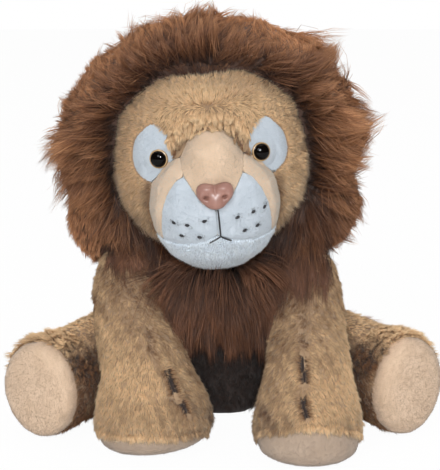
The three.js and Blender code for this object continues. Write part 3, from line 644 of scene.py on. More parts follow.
def clipped(points, corners, level):
    """The part of a surface where level is above zero, cut straight across its triangles."""
    sign = level > 0
    count = sign[corners].sum(axis=1)
    faces = corners[count == 3].tolist()
    fresh, cuts = [], {}

    def cut(i, j):
        key = (min(i, j), max(i, j))
        if key not in cuts:
            share = level[i] / (level[i] - level[j])
            fresh.append(points[i] + (points[j] - points[i]) * share)
            cuts[key] = len(points) + len(fresh) - 1
        return cuts[key]

    for face in corners[(count == 1) | (count == 2)].tolist():
        ring = []
        for i, j in zip(face, face[1:] + face[:1]):
            if sign[i]:
                ring.append(i)
            if sign[i] != sign[j]:
                ring.append(cut(i, j))
        faces += [[ring[0], ring[k], ring[k + 1]] for k in range(1, len(ring) - 1)]
    faces = np.array(faces)
    every = np.concatenate([points, np.array(fresh).reshape(-1, 3)])
    reach = np.concatenate([level, np.zeros(len(fresh))])
    used, faces = np.unique(faces, return_inverse=True)
    return every[used], faces.reshape(-1, 3), reach[used]


def vertex_normals(points, corners):
    a, b, c = (points[corners[:, k]] for k in range(3))
    across = np.cross(b - a, c - a)
    total = np.zeros_like(points)
    for k in range(3):
        np.add.at(total, corners[:, k], across)
    return unit(total)


def thickened(points, corners, thickness):
    """A closed piece that goes this far in from an open surface."""
    there = {tuple(p) for p in sides_of(corners).tolist()}
    rim = [p for p in there if (p[1], p[0]) not in there]
    count = len(points)
    walls = [f for i, j in rim for f in ([j, i, i + count], [j, i + count, j + count])]
    faces = np.concatenate([corners, corners[:, ::-1] + count, np.array(walls, dtype=int).reshape(-1, 3)])
    under = points - vertex_normals(points, corners) * thickness
    mesh = mesh_of(np.concatenate([points, under]), faces)
    shade_smooth(mesh)
    return mesh


def panels_of(core, nodes):
    """How far inside each panel every vertex of a form is, by the CAD nodes that the panels stand for."""
    points, corners = points_of(core), triangles_of(core)
    spans = np.array([distances_to(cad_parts[n].data, points) for n in nodes])
    levels = {}
    for i, node in enumerate(nodes):
        others = np.delete(spans, i, axis=0).min(axis=0)
        levels[node] = neighbour_mean((others - spans[i]) / 2, corners, 3)
    return levels


def cut_panel(core, level, seam_depth, seam_width, thickness, gap=0.12 * MM):
    """One panel of a form, its edges pulled down into its seams: the closed piece and its open top."""
    points, corners, reach = clipped(points_of(core), triangles_of(core), level - gap)
    normals = vertex_normals(points, corners)
    points = points - normals * (seam_depth * bell(reach, seam_width))[:, None]
    return thickened(points, corners, thickness), mesh_of(points, corners)


def seen_at(tree, pixels):
    """Where the camera sees a form at places of the photograph, and which way the form faces there."""
    eye_place = np.array(TARGET) + DISTANCE * np.array([0, -math.cos(ELEVATION), math.sin(ELEVATION)])
    ahead = np.array([0, math.cos(ELEVATION), -math.sin(ELEVATION)])
    upward = np.array([0, math.sin(ELEVATION), math.cos(ELEVATION)])
    places, faces = [], []
    for px, py in pixels:
        ray = ahead + np.array([px - FRAME_PIXELS[0] / 2, 0, 0]) / FOCAL_PIXELS
        ray = ray - upward * (py - FRAME_PIXELS[1] / 2) / FOCAL_PIXELS
        place, normal, _, _ = tree.ray_cast(Vector(eye_place), Vector(unit(ray)))
        if place is not None:
            places.append(place)
            faces.append(normal)
    return np.array(places), np.array(faces)


def through(points, spacing):
    """A polyline with points this far apart."""
    points = np.asarray(points)
    lengths = np.linalg.norm(np.diff(points, axis=0), axis=1)
    marks = np.concatenate([[0], np.cumsum(lengths)])
    places = np.linspace(0, marks[-1], max(int(marks[-1] / spacing), 2) + 1)
    return np.stack([np.interp(places, marks, points[:, k]) for k in range(3)], axis=1)


def sleeve(rows, around):
    """Faces of a closed form made of rings: its side, then its ends, which meet in the two last points."""
    faces = []
    last = (rows - 1) * around
    steps = [(k, (k + 1) % around) for k in range(around)]
    for start in range(0, last, around):
        faces += [[start + k, start + n, start + around + n, start + around + k] for k, n in steps]
    for k, n in steps:
        faces += [[n, k, rows * around], [last + k, last + n, rows * around + 1]]
    return faces


def tube(path, radius, sides=8, ends=1.0):
    """A closed round tube along a path. ends is how thick its ends stay."""
    path = np.asarray(path)
    tangent = unit(np.gradient(path, axis=0))
    side = unit(np.cross(tangent, np.array([0.3, 0.2, 0.93])))
    other = np.cross(tangent, side)
    along = np.linspace(-1, 1, len(path))
    size = radius * (ends + (1 - ends) * np.sqrt(1 - along ** 2))
    angles = 2 * math.pi * np.arange(sides) / sides
    across, upward = np.cos(angles)[None, :, None], np.sin(angles)[None, :, None]
    around = side[:, None] * across + other[:, None] * upward
    rings = path[:, None] + around * size[:, None, None]
    tips = [path[0] - tangent[0] * radius * 0.6, path[-1] + tangent[-1] * radius * 0.6]
    points = np.concatenate([rings.reshape(-1, 3), tips])
    mesh = mesh_of(points, [[face[0], *face[:0:-1]] for face in sleeve(len(path), sides)])
    shade_smooth(mesh)
    return mesh


def groove(core, line, depth, width):
    """Pulls a form in along a seam."""
    points, normals = points_of(core), normals_of(core)
    tree = kd_tree(line)
    span = np.array([tree.find(p)[2] for p in points])
    move_points(core, points - normals * (depth * bell(span, width))[:, None])


def pushed_out(paths, trees, by, below=None):
    """Strands bent to lie on the forms that they would run into."""
    flat = paths[:, 1:].reshape(-1, 3)
    chosen = np.arange(len(flat)) if below is None else np.nonzero(flat[:, 2] < below)[0]
    for i in chosen:
        point = Vector(flat[i])
        for tree in trees:
            near, normal, _, span = tree.find_nearest(point)
            side = (point - near).dot(normal)
            if side < by and (side > 0 or span < 0.03):
                flat[i] = near + normal * by
                point = Vector(flat[i])
    paths[:, 1:] = flat.reshape(paths[:, 1:].shape)
    return paths


def laid_over(paths, trees, by):
    """Strands moved forward where they would run into the forms that they hang over."""
    flat = paths[:, 1:].reshape(-1, 3)
    for i, (x, _, z) in enumerate(flat):
        for tree in trees:
            place, *_ = tree.ray_cast(Vector((x, -0.3, z)), Vector((0, 1, 0)))
            if place is not None:
                flat[i, 1] = min(flat[i, 1], place.y - by)
    paths[:, 1:] = flat.reshape(paths[:, 1:].shape)
    return paths


# Mane and chest

HEAD_RADIUS = 66 * MM
FACE_TOP = 55 * MM  # height in the head's frame where the forehead's tan pile ends
MANE_POLE = mm(-8, 0, 202)
MANE_FOOT = 112 * MM
BEHIND_SHARE = 0.5  # how dense the mane is at its back, as a share of its front
# How far the mane reaches from its pole in mm, every 10 degrees from the toy's left and over its top.
# A scratch script measured this on the photograph's outline, and renders were used to correct it.
MANE_REACH = [103, 118, 94, 99, 118, 90, 83, 81, 85, 93, 92, 89, 93, 91, 90, 87, 98, 99, 112, 107, 113,
              90, 99, 100, 102, 100, 100, 100, 100, 102, 106, 109, 107, 119, 99, 108]
TUFT_SPACING = 8  # degrees
MANE_GROWTH = {"steps": 3, "droop": 0.18, "locks": (12, 0.18, 0.16), "tight": 0.52, "scatter": 0.12}
DRAPE_GROWTH = {"lift": 0.32, "steps": 4, "droop": 0.4, "curve": 0.9, "locks": (14, 0.12, 0.14),
                "scatter": 0.07}
CHEST_GROWTH = {"lift": 0.28, "steps": 4, "droop": 0.5, "curve": 0.9, "locks": (14, 0.1, 0.15),
                "scatter": 0.08}
BELLY_GROWTH = {"lift": 0.35, "steps": 1, "locks": (8, 0.2, 0.15), "tight": 0.5}
ALL_HEIGHT = 1000


def in_front(ahead, low, high):
    """Picks the places more than so many mm ahead of the frame's middle, between two heights in mm."""
    return lambda c: (c[:, 1] < -ahead * MM) * (c[:, 2] > low * MM) * (c[:, 2] < high * MM)


def gathered(paths, front):
    """Strands drawn into pointed tufts round the pole, and how near its tuft's middle each one is."""
    local = np.random.default_rng(12)
    tufts = np.arange(0, 360, TUFT_SPACING) * 1.0
    tufts += local.uniform(-0.3, 0.3, size=len(tufts)) * TUFT_SPACING
    size = local.uniform(0.2, 1, size=len(tufts))
    tip = paths[:, -1] - MANE_POLE
    angle = np.degrees(np.arctan2(tip[:, 2], tip[:, 0]))
    away = (angle[:, None] - tufts + 180) % 360 - 180
    which = np.abs(away).argmin(axis=1)
    off = away[np.arange(len(paths)), which]
    steps = paths.shape[1] - 1
    turn = np.radians(-0.6 * off * front)[:, None] * (np.arange(steps + 1) / steps) ** 1.5
    x, z = paths[:, :, 0] - MANE_POLE[0], paths[:, :, 2] - MANE_POLE[2]
    paths[:, :, 0] = MANE_POLE[0] + x * np.cos(turn) - z * np.sin(turn)
    paths[:, :, 2] = MANE_POLE[2] + x * np.sin(turn) + z * np.cos(turn)
    ridge = 1 - np.clip(np.abs(off) / (TUFT_SPACING / 2), 0, 1)
    return paths, ridge * front * size[which]


def within_reach(paths, member, ridge):
    """Strands shortened where they would pass the mane's outline, with some locks that stick out of it."""
    local = paths[:, [0, -1]] - MANE_POLE
    span = np.hypot(local[:, :, 0], local[:, :, 2])
    angle = np.degrees(np.arctan2(local[:, 1, 2], local[:, 1, 0])) % 360
    reach = np.interp(angle, np.arange(37) * 10, [*MANE_REACH, MANE_REACH[0]])
    wisps = np.clip(np.random.default_rng(5).exponential(6, size=member.max() + 1) - 4, -4, 15)
    room = (reach + wisps[member] + 12 * ridge - 3) * MM - span[:, 0]
    share = np.clip(room / np.maximum(span[:, 1] - span[:, 0], 1 * MM), 0.2, 1)
    return paths[:, :1] + (paths - paths[:, :1]) * share[:, None, None]


def mane_flow(place, local, behind, low):
    """The way the mane grows, away from the face and down behind, and where it hangs over the shoulders."""
    radial = unit(local * np.array([1, 0, 1]))
    swirl = np.stack([bumps(place, 45, 31), np.zeros(len(place)), bumps(place, 45, 32)], axis=1)
    flow = (radial + 0.4 * swirl) * (1 - behind)[:, None] + np.array([0, 0.35, -1]) * behind[:, None]
    drape = step_mm(-28, -56, local[:, 2]) * (1 - behind)
    drape = drape * step_mm(95, 70, np.abs(local[:, 0]))
    flow = mix(flow, np.array([0, -0.3, -1]) + radial * 0.3, (0.85 * drape)[:, None])
    flow += np.array([0, 0, -0.3]) * low[:, None]
    return flow @ HEAD_MATRIX.T, drape


def add_mane(core, face, obstacles):
    place, out = roots_on(core, 1.15, lambda c: mix(1, BEHIND_SHARE, step_mm(0, 30, c[:, 1])))
    crown, up = roots_on(face, 1.3, lambda c: (to_head(c)[:, 2] > FACE_TOP - MM) * (c[:, 1] < 10 * MM))
    place, out = np.concatenate([place, crown]), np.concatenate([out, up])
    local = to_head(place)
    outward = ((out @ HEAD_MATRIX) * unit(local)).sum(axis=1)
    kept = (outward > -0.05) & (place[:, 2] > MANE_FOOT)
    place, out, local = place[kept], out[kept], local[kept]
    behind = step_mm(5, 55, local[:, 1])
    high = step_mm(30, 90, local[:, 2])
    low = step_mm(-20, -80, local[:, 2])
    flow, drape = mane_flow(place, local, behind, low)
    lift = mix(0.5, 0.3, behind) * mix(1, 0.55, high)
    length = mix(40, 34, behind) * mix(1, 0.8, high) * mix(1, 1.25, drape) * MM
    paths, member = fur_paths(place, out, flow, length, lift, **MANE_GROWTH)
    paths, ridge = gathered(pushed_out(paths, obstacles, 3 * MM, below=140 * MM), 1 - behind)
    paths = within_reach(paths, member, ridge)
    across = np.hypot(local[:, 0], local[:, 2])
    streak = np.random.default_rng(4).normal(size=len(place))[member] * 0.12
    # Painted shade: the mane is darkest next to the face, where the head shades it, and lightens past it
    clear_of_face_shade = smooth_step(HEAD_RADIUS, HEAD_RADIUS + 34 * MM, across)
    shade = mix(0.16, 0.47, clear_of_face_shade) + 0.3 * high * clear_of_face_shade
    shade = shade + 0.2 * bumps(place, 26, 3) - 0.25 * drape
    # Painted light and shade: tufts lighter along their middles, darker in the gaps between them
    shade = shade + 0.25 * ridge * clear_of_face_shade + streak * 1.3 + rng.normal(size=len(place)) * 0.15
    add_strands("mane_fur", "head", "brown_fur", paths, 0.18 * MM, shade)
    add_drape(core, obstacles)


def add_drape(core, obstacles):
    """The mane's lower front, which hangs over the shoulders."""
    place, out = roots_on(core, 2.4, in_front(6, 132, 178))
    local = to_head(place)
    side = local[:, 0] / (84 * MM)
    kept = (np.abs(side) < 1) & (local[:, 2] < -26 * MM)
    place, out, side = place[kept], out[kept], side[kept]
    inward = np.where(side > 0, -0.3, -0.35) * side
    flow = np.stack([inward, np.full(len(side), -0.3), -np.ones(len(side))], axis=1)
    beyond = np.maximum(np.abs(local[kept, 0]) - 46 * MM, 0)
    length = 48 * MM - beyond * np.where(side > 0, 0.4, 0.9)
    length = length * (1 + 0.25 * bumps(place, 9, 18))
    paths, _ = fur_paths(place, out, flow, length, **DRAPE_GROWTH)
    hung = paths[:, :, 1].copy()
    paths = laid_over(paths, obstacles, 5 * MM)
    shade = 0.34 + 0.2 * bumps(place, 16, 8) + rng.normal(size=len(place)) * 0.14
    kept = (hung - paths[:, :, 1]).max(axis=1) < 70 * MM
    add_strands("mane_drape", "head", "chest_fur", paths[kept], 0.24 * MM, shade[kept])


def add_chest(core, obstacles):
    """Long pile in front, and under it the short pile of the belly: its dark brown with the shade under the
    chest painted in.
    """
    place, out = roots_on(core, 1.6, in_front(30, 74, ALL_HEIGHT))
    flow = np.tile([0.0, -0.1, -1.0], (len(place), 1))
    flow[:, 0] += place[:, 0] * 4
    end = 64 * MM + 11 * MM * bumps(place, 8, 9)
    length = np.clip(place[:, 2] - end, 14 * MM, 44 * MM)
    paths, _ = fur_paths(place, out, flow, length, **CHEST_GROWTH)
    paths = pushed_out(paths, obstacles, 2 * MM)
    shade = 0.48 + 0.2 * bumps(place, 12, 5) + rng.normal(size=len(place)) * 0.14
    pale = rng.random(len(place)) < 0.07
    shade[pale] = rng.uniform(0.85, 1, size=pale.sum())
    add_strands("chest_fur", "body", "chest_fur", paths, 0.24 * MM, shade)
    place, out = roots_on(core, 1.5, in_front(26, 14, 84))
    paths, _ = fur_paths(place, out, np.array([0.0, -0.2, -1.0]), 7 * MM, **BELLY_GROWTH)
    shade = 0.02 + 0.06 * bumps(place, 12, 6) + rng.normal(size=len(place)) * 0.05
    add_strands("belly_fur_shaded", "body", "belly_fur_shaded", paths, 0.3 * MM, shade + 0.4)


# Tan plush

# Seams of the limbs where the pile parts, as places of the photograph
SEAMS = {
    "front_leg_left": [[(303, 312), (304, 340), (303, 362), (304, 383)],
                       [(304, 383), (301, 399), (307, 417)]],
    "front_leg_right": [[(148, 325), (150, 349), (159, 368), (168, 377), (172, 395), (188, 414)]],
    "hind_leg_left": [],
    "hind_leg_right": [[(43, 331), (52, 337), (61, 346)]],
}
# Parts of them that gape, with dark roots on show
PARTINGS = {
    "front_leg_left": [[(303, 356), (303, 368), (305, 383)], [(303, 398), (304, 408), (307, 418)]],
    "front_leg_right": [[(167, 370), (170, 380), (175, 393)], [(181, 403), (187, 414)]],
    "hind_leg_left": [],
    "hind_leg_right": [[(45, 333), (52, 338), (60, 345)]],
}

STREAKS = np.array([1.0, 0.7, 0.3])  # draws the pile's shades out down a leg
# How far each sole's velour reaches past the edge of its pad
SOLE_MARGINS = {"front_leg_left": 1 * MM, "front_leg_right": 3 * MM, "hind_leg_left": 3 * MM,
                "hind_leg_right": 3 * MM}
LASH_GROWTH = {"lift": 0.5, "steps": 4, "curve": 0.9, "locks": (3, 0.1, 0.15), "scatter": 0.12}
PLUSH_GROWTH = {"droop": 0.1, "curve": 0.4, "scatter": 0.1}
PLUSH_LOCKS = (16, 0.12, 0.09)
RIM_GROWTH = {"steps": 2, "locks": (30, 0.13, 0.15), "tight": 0.45, "scatter": 0.1}


def add_parting(name, body, tree, line):
    """A gap between two sides of the pile: a dark tube in it paints the gap's shade, and lashes with dark
    roots lie across its edges.
    """
    path = on_surface(tree, through(seen_at(tree, line)[0], 0.5 * MM))[0]
    outs = on_surface(tree, path)[1]
    gap = tube(path - outs * 0.8 * MM, 1.5 * MM, sides=6, ends=0.5)
    new_object(f"{name}_gap", gap, body, "dark_cloth")
    tangent = unit(np.gradient(path, axis=0))
    across = unit(np.cross(tangent, outs))
    index = rng.integers(0, len(path), size=int(len(path) * 12 * DENSITY) + 8)
    sign = np.where(rng.random(len(index)) < 0.5, -1, 1)[:, None]
    place = path[index] + across[index] * sign * rng.uniform(0.3, 1.4, size=(len(index), 1)) * MM
    flow = across[index] * sign + tangent[index] * rng.normal(size=(len(index), 1)) * 0.2 + DOWN * 0.25
    length = rng.uniform(4, 7.5, size=len(index)) * MM
    paths, _ = fur_paths(place, outs[index], flow, length, **LASH_GROWTH)
    add_strands(f"{name}_lashes", body, "parting_shade_fur", paths, 0.24 * MM, rng.random(len(index)))


def tan_fur(name, body, surface, per_mm2, length, flow_at, shade_at, seam=None, gap=None, lift=0.36,
            radius=0.2 * MM, steps=1, slot="tan_plush", material="tan_fur", locks=PLUSH_LOCKS, tight=0.3,
            keep=None, grow=None):
    """Medium pile. It turns away from a seam, is darker along it with painted shade in its crease, and
    stays clear of a gap.
    """
    place, out = roots_on(surface, per_mm2, keep)
    flow = flow_at(place, out)
    shade = shade_at(place) + rng.normal(size=len(place)) * 0.1
    length = np.full(len(place), length)
    if grow:
        length = length * grow(place, out)
    if seam is not None:
        away = place - seam[nearest(seam, place)]
        span = np.linalg.norm(away, axis=1)
        bare = np.linalg.norm(place - gap[nearest(gap, place)], axis=1)
        pull = bell(span, 9 * MM) * (0.3 + 0.7 * bell(bare, 9 * MM))
        flow = flow * (1 - 0.7 * pull)[:, None] + unit(away) * (1.3 * pull)[:, None]
        # Painted shade along the seam's crease, with the strands' dark roots
        shade = shade - 0.55 * bell(span, 2.2 * MM)
        lift = lift - 0.12 * bell(span, 4 * MM)
        kept = bare > 1.4 * MM
        place, out, flow, shade, length, lift = (a[kept] for a in (place, out, flow, shade, length, lift))
    growth = {**PLUSH_GROWTH, "steps": steps, "locks": locks, "tight": tight}
    paths, member = fur_paths(place, out, flow, length, lift, **growth)
    streak = np.random.default_rng(8).normal(size=len(place))[member] * 0.07
    add_strands(name, body, material, paths, radius, shade + streak)


def nap(name, body, surface, slot, material, per_mm2=3.2, length=1.5 * MM, radius=0.22 * MM, lift=0.62):
    """The short pile of velour."""
    place, out = roots_on(surface, per_mm2)
    shade = 0.55 + 0.18 * bumps(place, 5, 21) + rng.normal(size=len(place)) * 0.12
    paths, _ = fur_paths(place, out, np.array([0.15, 0.0, -1.0]), length, lift, 1, scatter=0.2)
    add_strands(name, body, material, paths, radius, shade)


def add_rim(limb, body, surface, edge, flow_at, shade_at):
    """Longer tufts of the skin's pile that stick out past the edge of the sole."""
    place, out = roots_on(surface, 2.2, lambda c: (c[:, 2] < 90 * MM) * 1.0)
    span = np.linalg.norm(place - edge[nearest(edge, place)], axis=1)
    if limb.startswith("front"):
        width, share, along, lift, droop = 4 * MM, 1, 0.7, 0.55, 0.35
    else:
        width, share, along, lift, droop = 26 * MM, smooth_step(0.1, 0.5, out[:, 2]), 0.5, 0.72, 0.1
    kept = (span < width) & (rng.random(len(span)) < share)
    place, out, span = place[kept], out[kept], span[kept]
    flow = flow_at(place, out) * along + out * 0.9
    length = 6 * MM if limb.startswith("front") else mix(10, 7, span / width) * MM
    paths, _ = fur_paths(place, out, flow, length, lift, droop=droop, **RIM_GROWTH)
    shade = shade_at(place) + rng.normal(size=len(place)) * 0.1
    add_strands(f"{limb}_rim_fur", body, "tan_fur", paths, 0.24 * MM, shade)


def pad_of(limb):
    """The node of a leg's sole."""
    return limb.replace("front_leg", "front_paw_pad").replace("hind_leg", "hind_foot_pad")


def leg_looks(limb):
    """The way a leg's pile grows, and its shade, with painted shade on the front legs' inner sides and tops
    and on the hind legs beside the front legs.
    """
    line = LIMB_LINES[limb]
    front = limb.startswith("front")

    def flow_at(place, out):
        along, _, middle = along_line(line, place)
        if front:
            outward = np.sign(place[:, :1] - middle[:, :1])
            return along + np.array([0, 0, -0.4]) + np.array([0.25, 0, 0]) * outward
        return along + np.array([0, -0.1, -0.25])

    def shade_at(place):
        _, share, middle = along_line(line, place)
        base = 0.86 + 0.11 * bumps(place, 16, 11) + 0.16 * bumps(place * STREAKS, 3.6, 12)
        if front:
            # Painted shade: darker on the front legs' inner sides, and on their tops under the mane
            inner_shade = step_mm(0, 30, np.abs(middle[:, 0]) - np.abs(place[:, 0]))
            top_shade = step_mm(55, 108, place[:, 2])
            return base - 0.4 * inner_shade - 0.45 * top_shade
        # Painted shade: darker on the hind legs' fronts where they sit beside the front legs
        front_leg_shade = smooth_step(1.0, 0.84, share) * step_mm(14, -8, place[:, 1] - middle[:, 1])
        return base - 0.95 * front_leg_shade * step_mm(72, 56, place[:, 2])

    return flow_at, shade_at


def add_leg(limb):
    """A leg's skin and sole. The leg is its own body."""
    pad, core = pad_of(limb), cores[limb]
    front = limb.startswith("front")
    tree = tree_of(core)
    seam = gap = None
    if SEAMS[limb]:
        lines = [seen_at(tree, line)[0] for line in SEAMS[limb]]
        gap = np.concatenate([through(seen_at(tree, line)[0], 0.8 * MM) for line in PARTINGS[limb]])
        seam = np.concatenate([through(line, 0.8 * MM) for line in lines])
        groove(core, seam, 1.4 * MM, 2.6 * MM)
    levels = panels_of(core, [f"{limb}_skin", pad])
    levels[pad] += SOLE_MARGINS[limb]
    levels[f"{limb}_skin"] -= SOLE_MARGINS[limb]
    skin, skin_top = cut_panel(core, levels[f"{limb}_skin"], 1.2 * MM, 2.5 * MM, 1.2 * MM)
    sole, sole_top = cut_panel(core, levels[pad], 1.4 * MM, 3 * MM, 1.2 * MM)
    new_object(f"{limb}_plush", skin, limb, "tan_cloth", [f"{limb}_skin"])
    # Front pads take the darker copies of the peach velour, with painted shade of the paws' undersides
    cloth, pile = ("pad_cloth", "pad_nap") if front else ("peach_cloth", "sole_nap")
    new_object(f"{pad}_velour", sole, limb, cloth, [pad])
    nap(f"{pad}_nap", limb, sole_top, "peach_velour", pile, 2.8)
    looks = leg_looks(limb)
    tan_fur(f"{limb}_fur", limb, skin_top, 2.9, 5.4 * MM, *looks, seam, gap, radius=0.21 * MM)
    add_rim(limb, limb, skin_top, points_of(sole_top), *looks)
    cut_tree = tree_of(core)
    for i, line in enumerate(PARTINGS[limb]):
        add_parting(f"{limb}_parting_{i + 1}", limb, cut_tree, line)


# Head

# Panels of the face: slot, cloth, nap, and how far their edges go down into the seams
WHITE_LOOKS = ("white_velour", "white_cloth", "white_nap")
CHEEK_LOOKS = ("peach_velour", "peach_cloth", "cheek_nap")
SHALLOW, DEEP = 0.2 * MM, 0.45 * MM
FACE_PANELS = {
    "head_skin": ("tan_plush", "tan_cloth", None, SHALLOW),
    "eye_patch_left": (*WHITE_LOOKS, SHALLOW),
    "eye_patch_right": (*WHITE_LOOKS, SHALLOW),
    "nose_bridge_panel": ("peach_velour", "peach_cloth", "peach_nap", DEEP),
    "chin_panel": ("white_velour", "white_cloth", "chin_nap", DEEP),
    "muzzle_panel_left": (*WHITE_LOOKS, DEEP),
    "muzzle_panel_right": (*WHITE_LOOKS, DEEP),
    "cheek_panel_left": (*CHEEK_LOOKS, DEEP),
    "cheek_panel_right": (*CHEEK_LOOKS, DEEP),
}
CHIN_PILE = {"per_mm2": 3.6, "length": 3.2 * MM, "radius": 0.26 * MM, "lift": 0.55}
# The top edge of the nose bridge, as places of the photograph
BRIDGE_TOP = [(177, 151), (180, 144), (186, 137), (195, 132.5), (206, 130), (219, 129), (229, 131),
              (235, 136), (239, 146)]
FACE_LOCKS = (10, 0.08, 0.07)
FRINGE_GROWTH = {"steps": 3, "droop": 0.2, "curve": 0.8, "tight": 0.65, "scatter": 0.05}
# Brow pile: material, strands per step of the edge, how far above it they grow and how long they are in mm,
# lift, how far locks lean apart, and the share of the edge that is left free at each end
FRINGES = {
    # Short dark strands in the gaps between the locks paint the shade there
    "brow_gap_shade": ("parting_shade_fur", 6, (0.2, 3), (3.5, 5), 0.5, 0.3, 0.14),
    "brow_locks": ("tan_fur", 44, (3, 17), (8, 10), 0.45, 0.16, 0),
}
# The way to each eye patch's outer side, and how many mm are taken off its node's shape there
EYE_PATCH_TRIMS = {"left": (1, 2.2), "right": (-1, 1.2)}
# Middles of the moulded pieces in the head's frame, in mm
EYES = {"left": (34.5, 3.2), "right": (-36.7, 3.2)}
NOSE_SEAT = (0, -19)
SEAT_RADIUS = 6
PRESSED = 8 * MM  # radius of the cloth that an eye pulls flat
RIGHT, BACK, UP = HEAD_MATRIX.T


def add_fringe(tree, path):
    """Brow pile that hangs down to the nose bridge in combed locks, with dark strands among their tips that
    paint the shade in the gaps between them.
    """
    for name, (material, count, back, reach, lift, spread, free) in FRINGES.items():
        edge = int(len(path) * free)
        index = rng.integers(edge, len(path) - edge, size=int(len(path) * count * DENSITY) + 8)
        above = rng.uniform(*back, size=len(index))
        lean = (index / len(path) - 0.5)[:, None]
        place = path[index] + (UP * (1 - np.abs(lean) * 0.7) + RIGHT * lean * 1.1) * above[:, None] * MM
        place, out = on_surface(tree, place)
        flow = -UP - RIGHT * lean * 0.5
        length = rng.uniform(*reach, size=len(index)) * MM
        paths, _ = fur_paths(place, out, flow, length, lift, locks=(60, spread, 0.1), **FRINGE_GROWTH)
        paths = pushed_out(paths, [tree], 0.6 * MM)
        shade = 0.78 - 0.9 * smooth_step(0.2, 0.5, np.abs(lean[:, 0])) * smooth_step(12, 2, above)
        shade = shade + rng.normal(size=len(index)) * 0.1
        add_strands(name, "head", material, paths, 0.22 * MM, shade)


def press(core, place, look):
    """Flattens a form round an eye's seat, as its washer pulls the cloth in."""
    points = points_of(core)
    away = points - place
    height = away @ look
    span = np.linalg.norm(away - height[:, None] * look, axis=1)
    weight = smooth_step(PRESSED * 1.7, PRESSED * 0.85, span) * step_mm(7, 2.5, np.abs(height))
    move_points(core, points + look * (weight * -height)[:, None])


def add_head():
    """The face's panels and pile. Gives its surface, the head skin's top, and the moulded pieces' seats."""
    core = core_of([*FACE_PANELS, "head_filling"], 1.4 * MM, 30)
    levels = panels_of(core, list(FACE_PANELS))
    local = to_head(points_of(core))
    for side, (sign, trim) in EYE_PATCH_TRIMS.items():
        outer = trim * MM * step_mm(38, 50, sign * local[:, 0]) * step_mm(-24, -16, local[:, 2])
        levels[f"eye_patch_{side}"] -= outer
        levels["head_skin"] += outer
    flat_tree = tree_of(core)
    seats = {side: seat_axes(flat_tree, *EYES[side]) for side in EYES}
    for place, _, look, _ in seats.values():
        press(core, place, look)
    seats["nose"] = seat_axes(flat_tree, *NOSE_SEAT)
    tops = {}
    for node, (slot, cloth, pile, depth) in FACE_PANELS.items():
        solid, tops[node] = cut_panel(core, levels[node], depth, 1.3 * MM, 1.2 * MM, 0.05 * MM)
        name = node.replace("_panel", "").replace("_skin", "")
        new_object(f"{name}_cloth", solid, "head", cloth, [node])
        if pile:
            longer = CHIN_PILE if node == "chin_panel" else {}
            nap(f"{name}_nap", "head", tops[node], slot, pile, **longer)
    tree = tree_of(core)
    edge = on_surface(tree, through(seen_at(tree, BRIDGE_TOP)[0], 0.4 * MM))[0]
    cheeks = np.concatenate([points_of(tops[f"cheek_panel_{side}"]) for side in ("left", "right")])
    add_face_fur(tops["head_skin"], edge[16:-16:3], cheeks)
    add_fringe(tree, edge)
    return tree, tops["head_skin"], seats


def add_face_fur(surface, brow_edge, cheeks):
    """The tan pile of the forehead and the cheeks, clear of the brow's own locks."""
    brow = mm(0, 0, 12)

    def flow_at(place, out):
        local = to_head(place)
        radial = unit((local - brow) * np.array([1, 0, 1])) + np.array([0, 0.25, 0])
        fringe = step_mm(46, 30, local[:, 2]) * step_mm(38, 30, np.abs(local[:, 0]))
        down = np.stack([local[:, 0] * 3, np.zeros(len(local)), -np.ones(len(local))], axis=1)
        return mix(radial, down, fringe[:, None]) @ HEAD_MATRIX.T

    def shade_at(place):
        local = to_head(place)
        # Painted shade: darker in the folds beside the cheeks and at the brows' inner corners; also darker
        # towards the sides and lower down
        span = np.linalg.norm(place - cheeks[nearest(cheeks, place)], axis=1)
        fold_shade = bell(span, 4.5 * MM)
        base = 0.93 + 0.1 * bumps(place, 13, 13) + 0.1 * bumps(place, 4, 14)
        side = step_mm(45, 66, np.abs(local[:, 0]))
        under = step_mm(-5, -50, local[:, 2])
        corner = bell(np.abs(local[:, 0]) - 29 * MM, 8 * MM, local[:, 2] - 12 * MM, 13 * MM)
        return base - 0.12 * side - 0.17 * under - 0.35 * corner - 0.6 * fold_shade

    def grow(place, out):
        local = to_head(place)
        radius = np.hypot(local[:, 0], local[:, 2])
        patch = np.minimum(*(np.hypot(local[:, 0] - x, local[:, 2] - 8 * MM) for x in (-42 * MM, 42 * MM)))
        return mix(1, 1.7, step_mm(54, 64, radius)) * mix(1, 0.7, step_mm(28, 22, patch))

    def keep(places):
        near = np.linalg.norm(places - brow_edge[nearest(brow_edge, places)], axis=1)
        local = to_head(places)
        return (local[:, 1] < 10 * MM) * (local[:, 2] < FACE_TOP) * (near > 11 * MM)

    tan_fur("head_fur", "head", surface, 3.0, 6.2 * MM, flow_at, shade_at, lift=0.46, steps=2,
            locks=FACE_LOCKS, tight=0.2, keep=keep, grow=grow)


def on_face(tree, x, z):
    """The face's surface at a place of the head's frame in mm, and the way it faces."""
    place, normal, _, _ = tree.ray_cast(Vector(from_head(mm(x, -200, z))), Vector(BACK))
    return np.array(place), np.array(normal)


def seat_axes(tree, x, z):
    """Where something moulded sits, from the cloth round its shank's hole: place, right, way out, up."""
    turns = 2 * math.pi * np.arange(16) / 16
    rays = [on_face(tree, x + SEAT_RADIUS * math.cos(t), z + SEAT_RADIUS * math.sin(t)) for t in turns]
    place, normal = np.mean([r[0] for r in rays], axis=0), np.mean([r[1] for r in rays], axis=0)
    look = unit(unit(normal) - BACK)
    right = unit(np.cross(UP, look))
    return place, right, look, np.cross(look, right)


# Eyes: radius and height in mm along the side, from the shank over the rim to the edge of the dome
EYE_PROFILE = [(2, -14), (2, -1), (6.2, -1), (6.7, -0.6), (6.7, 1.2), (6.45, 1.7), (5.85, 1.95)]
EYE_PUPIL, EYE_EDGE, EYE_DOME = 5.6, 1.8, 3.6
EYE_STEPS = 40


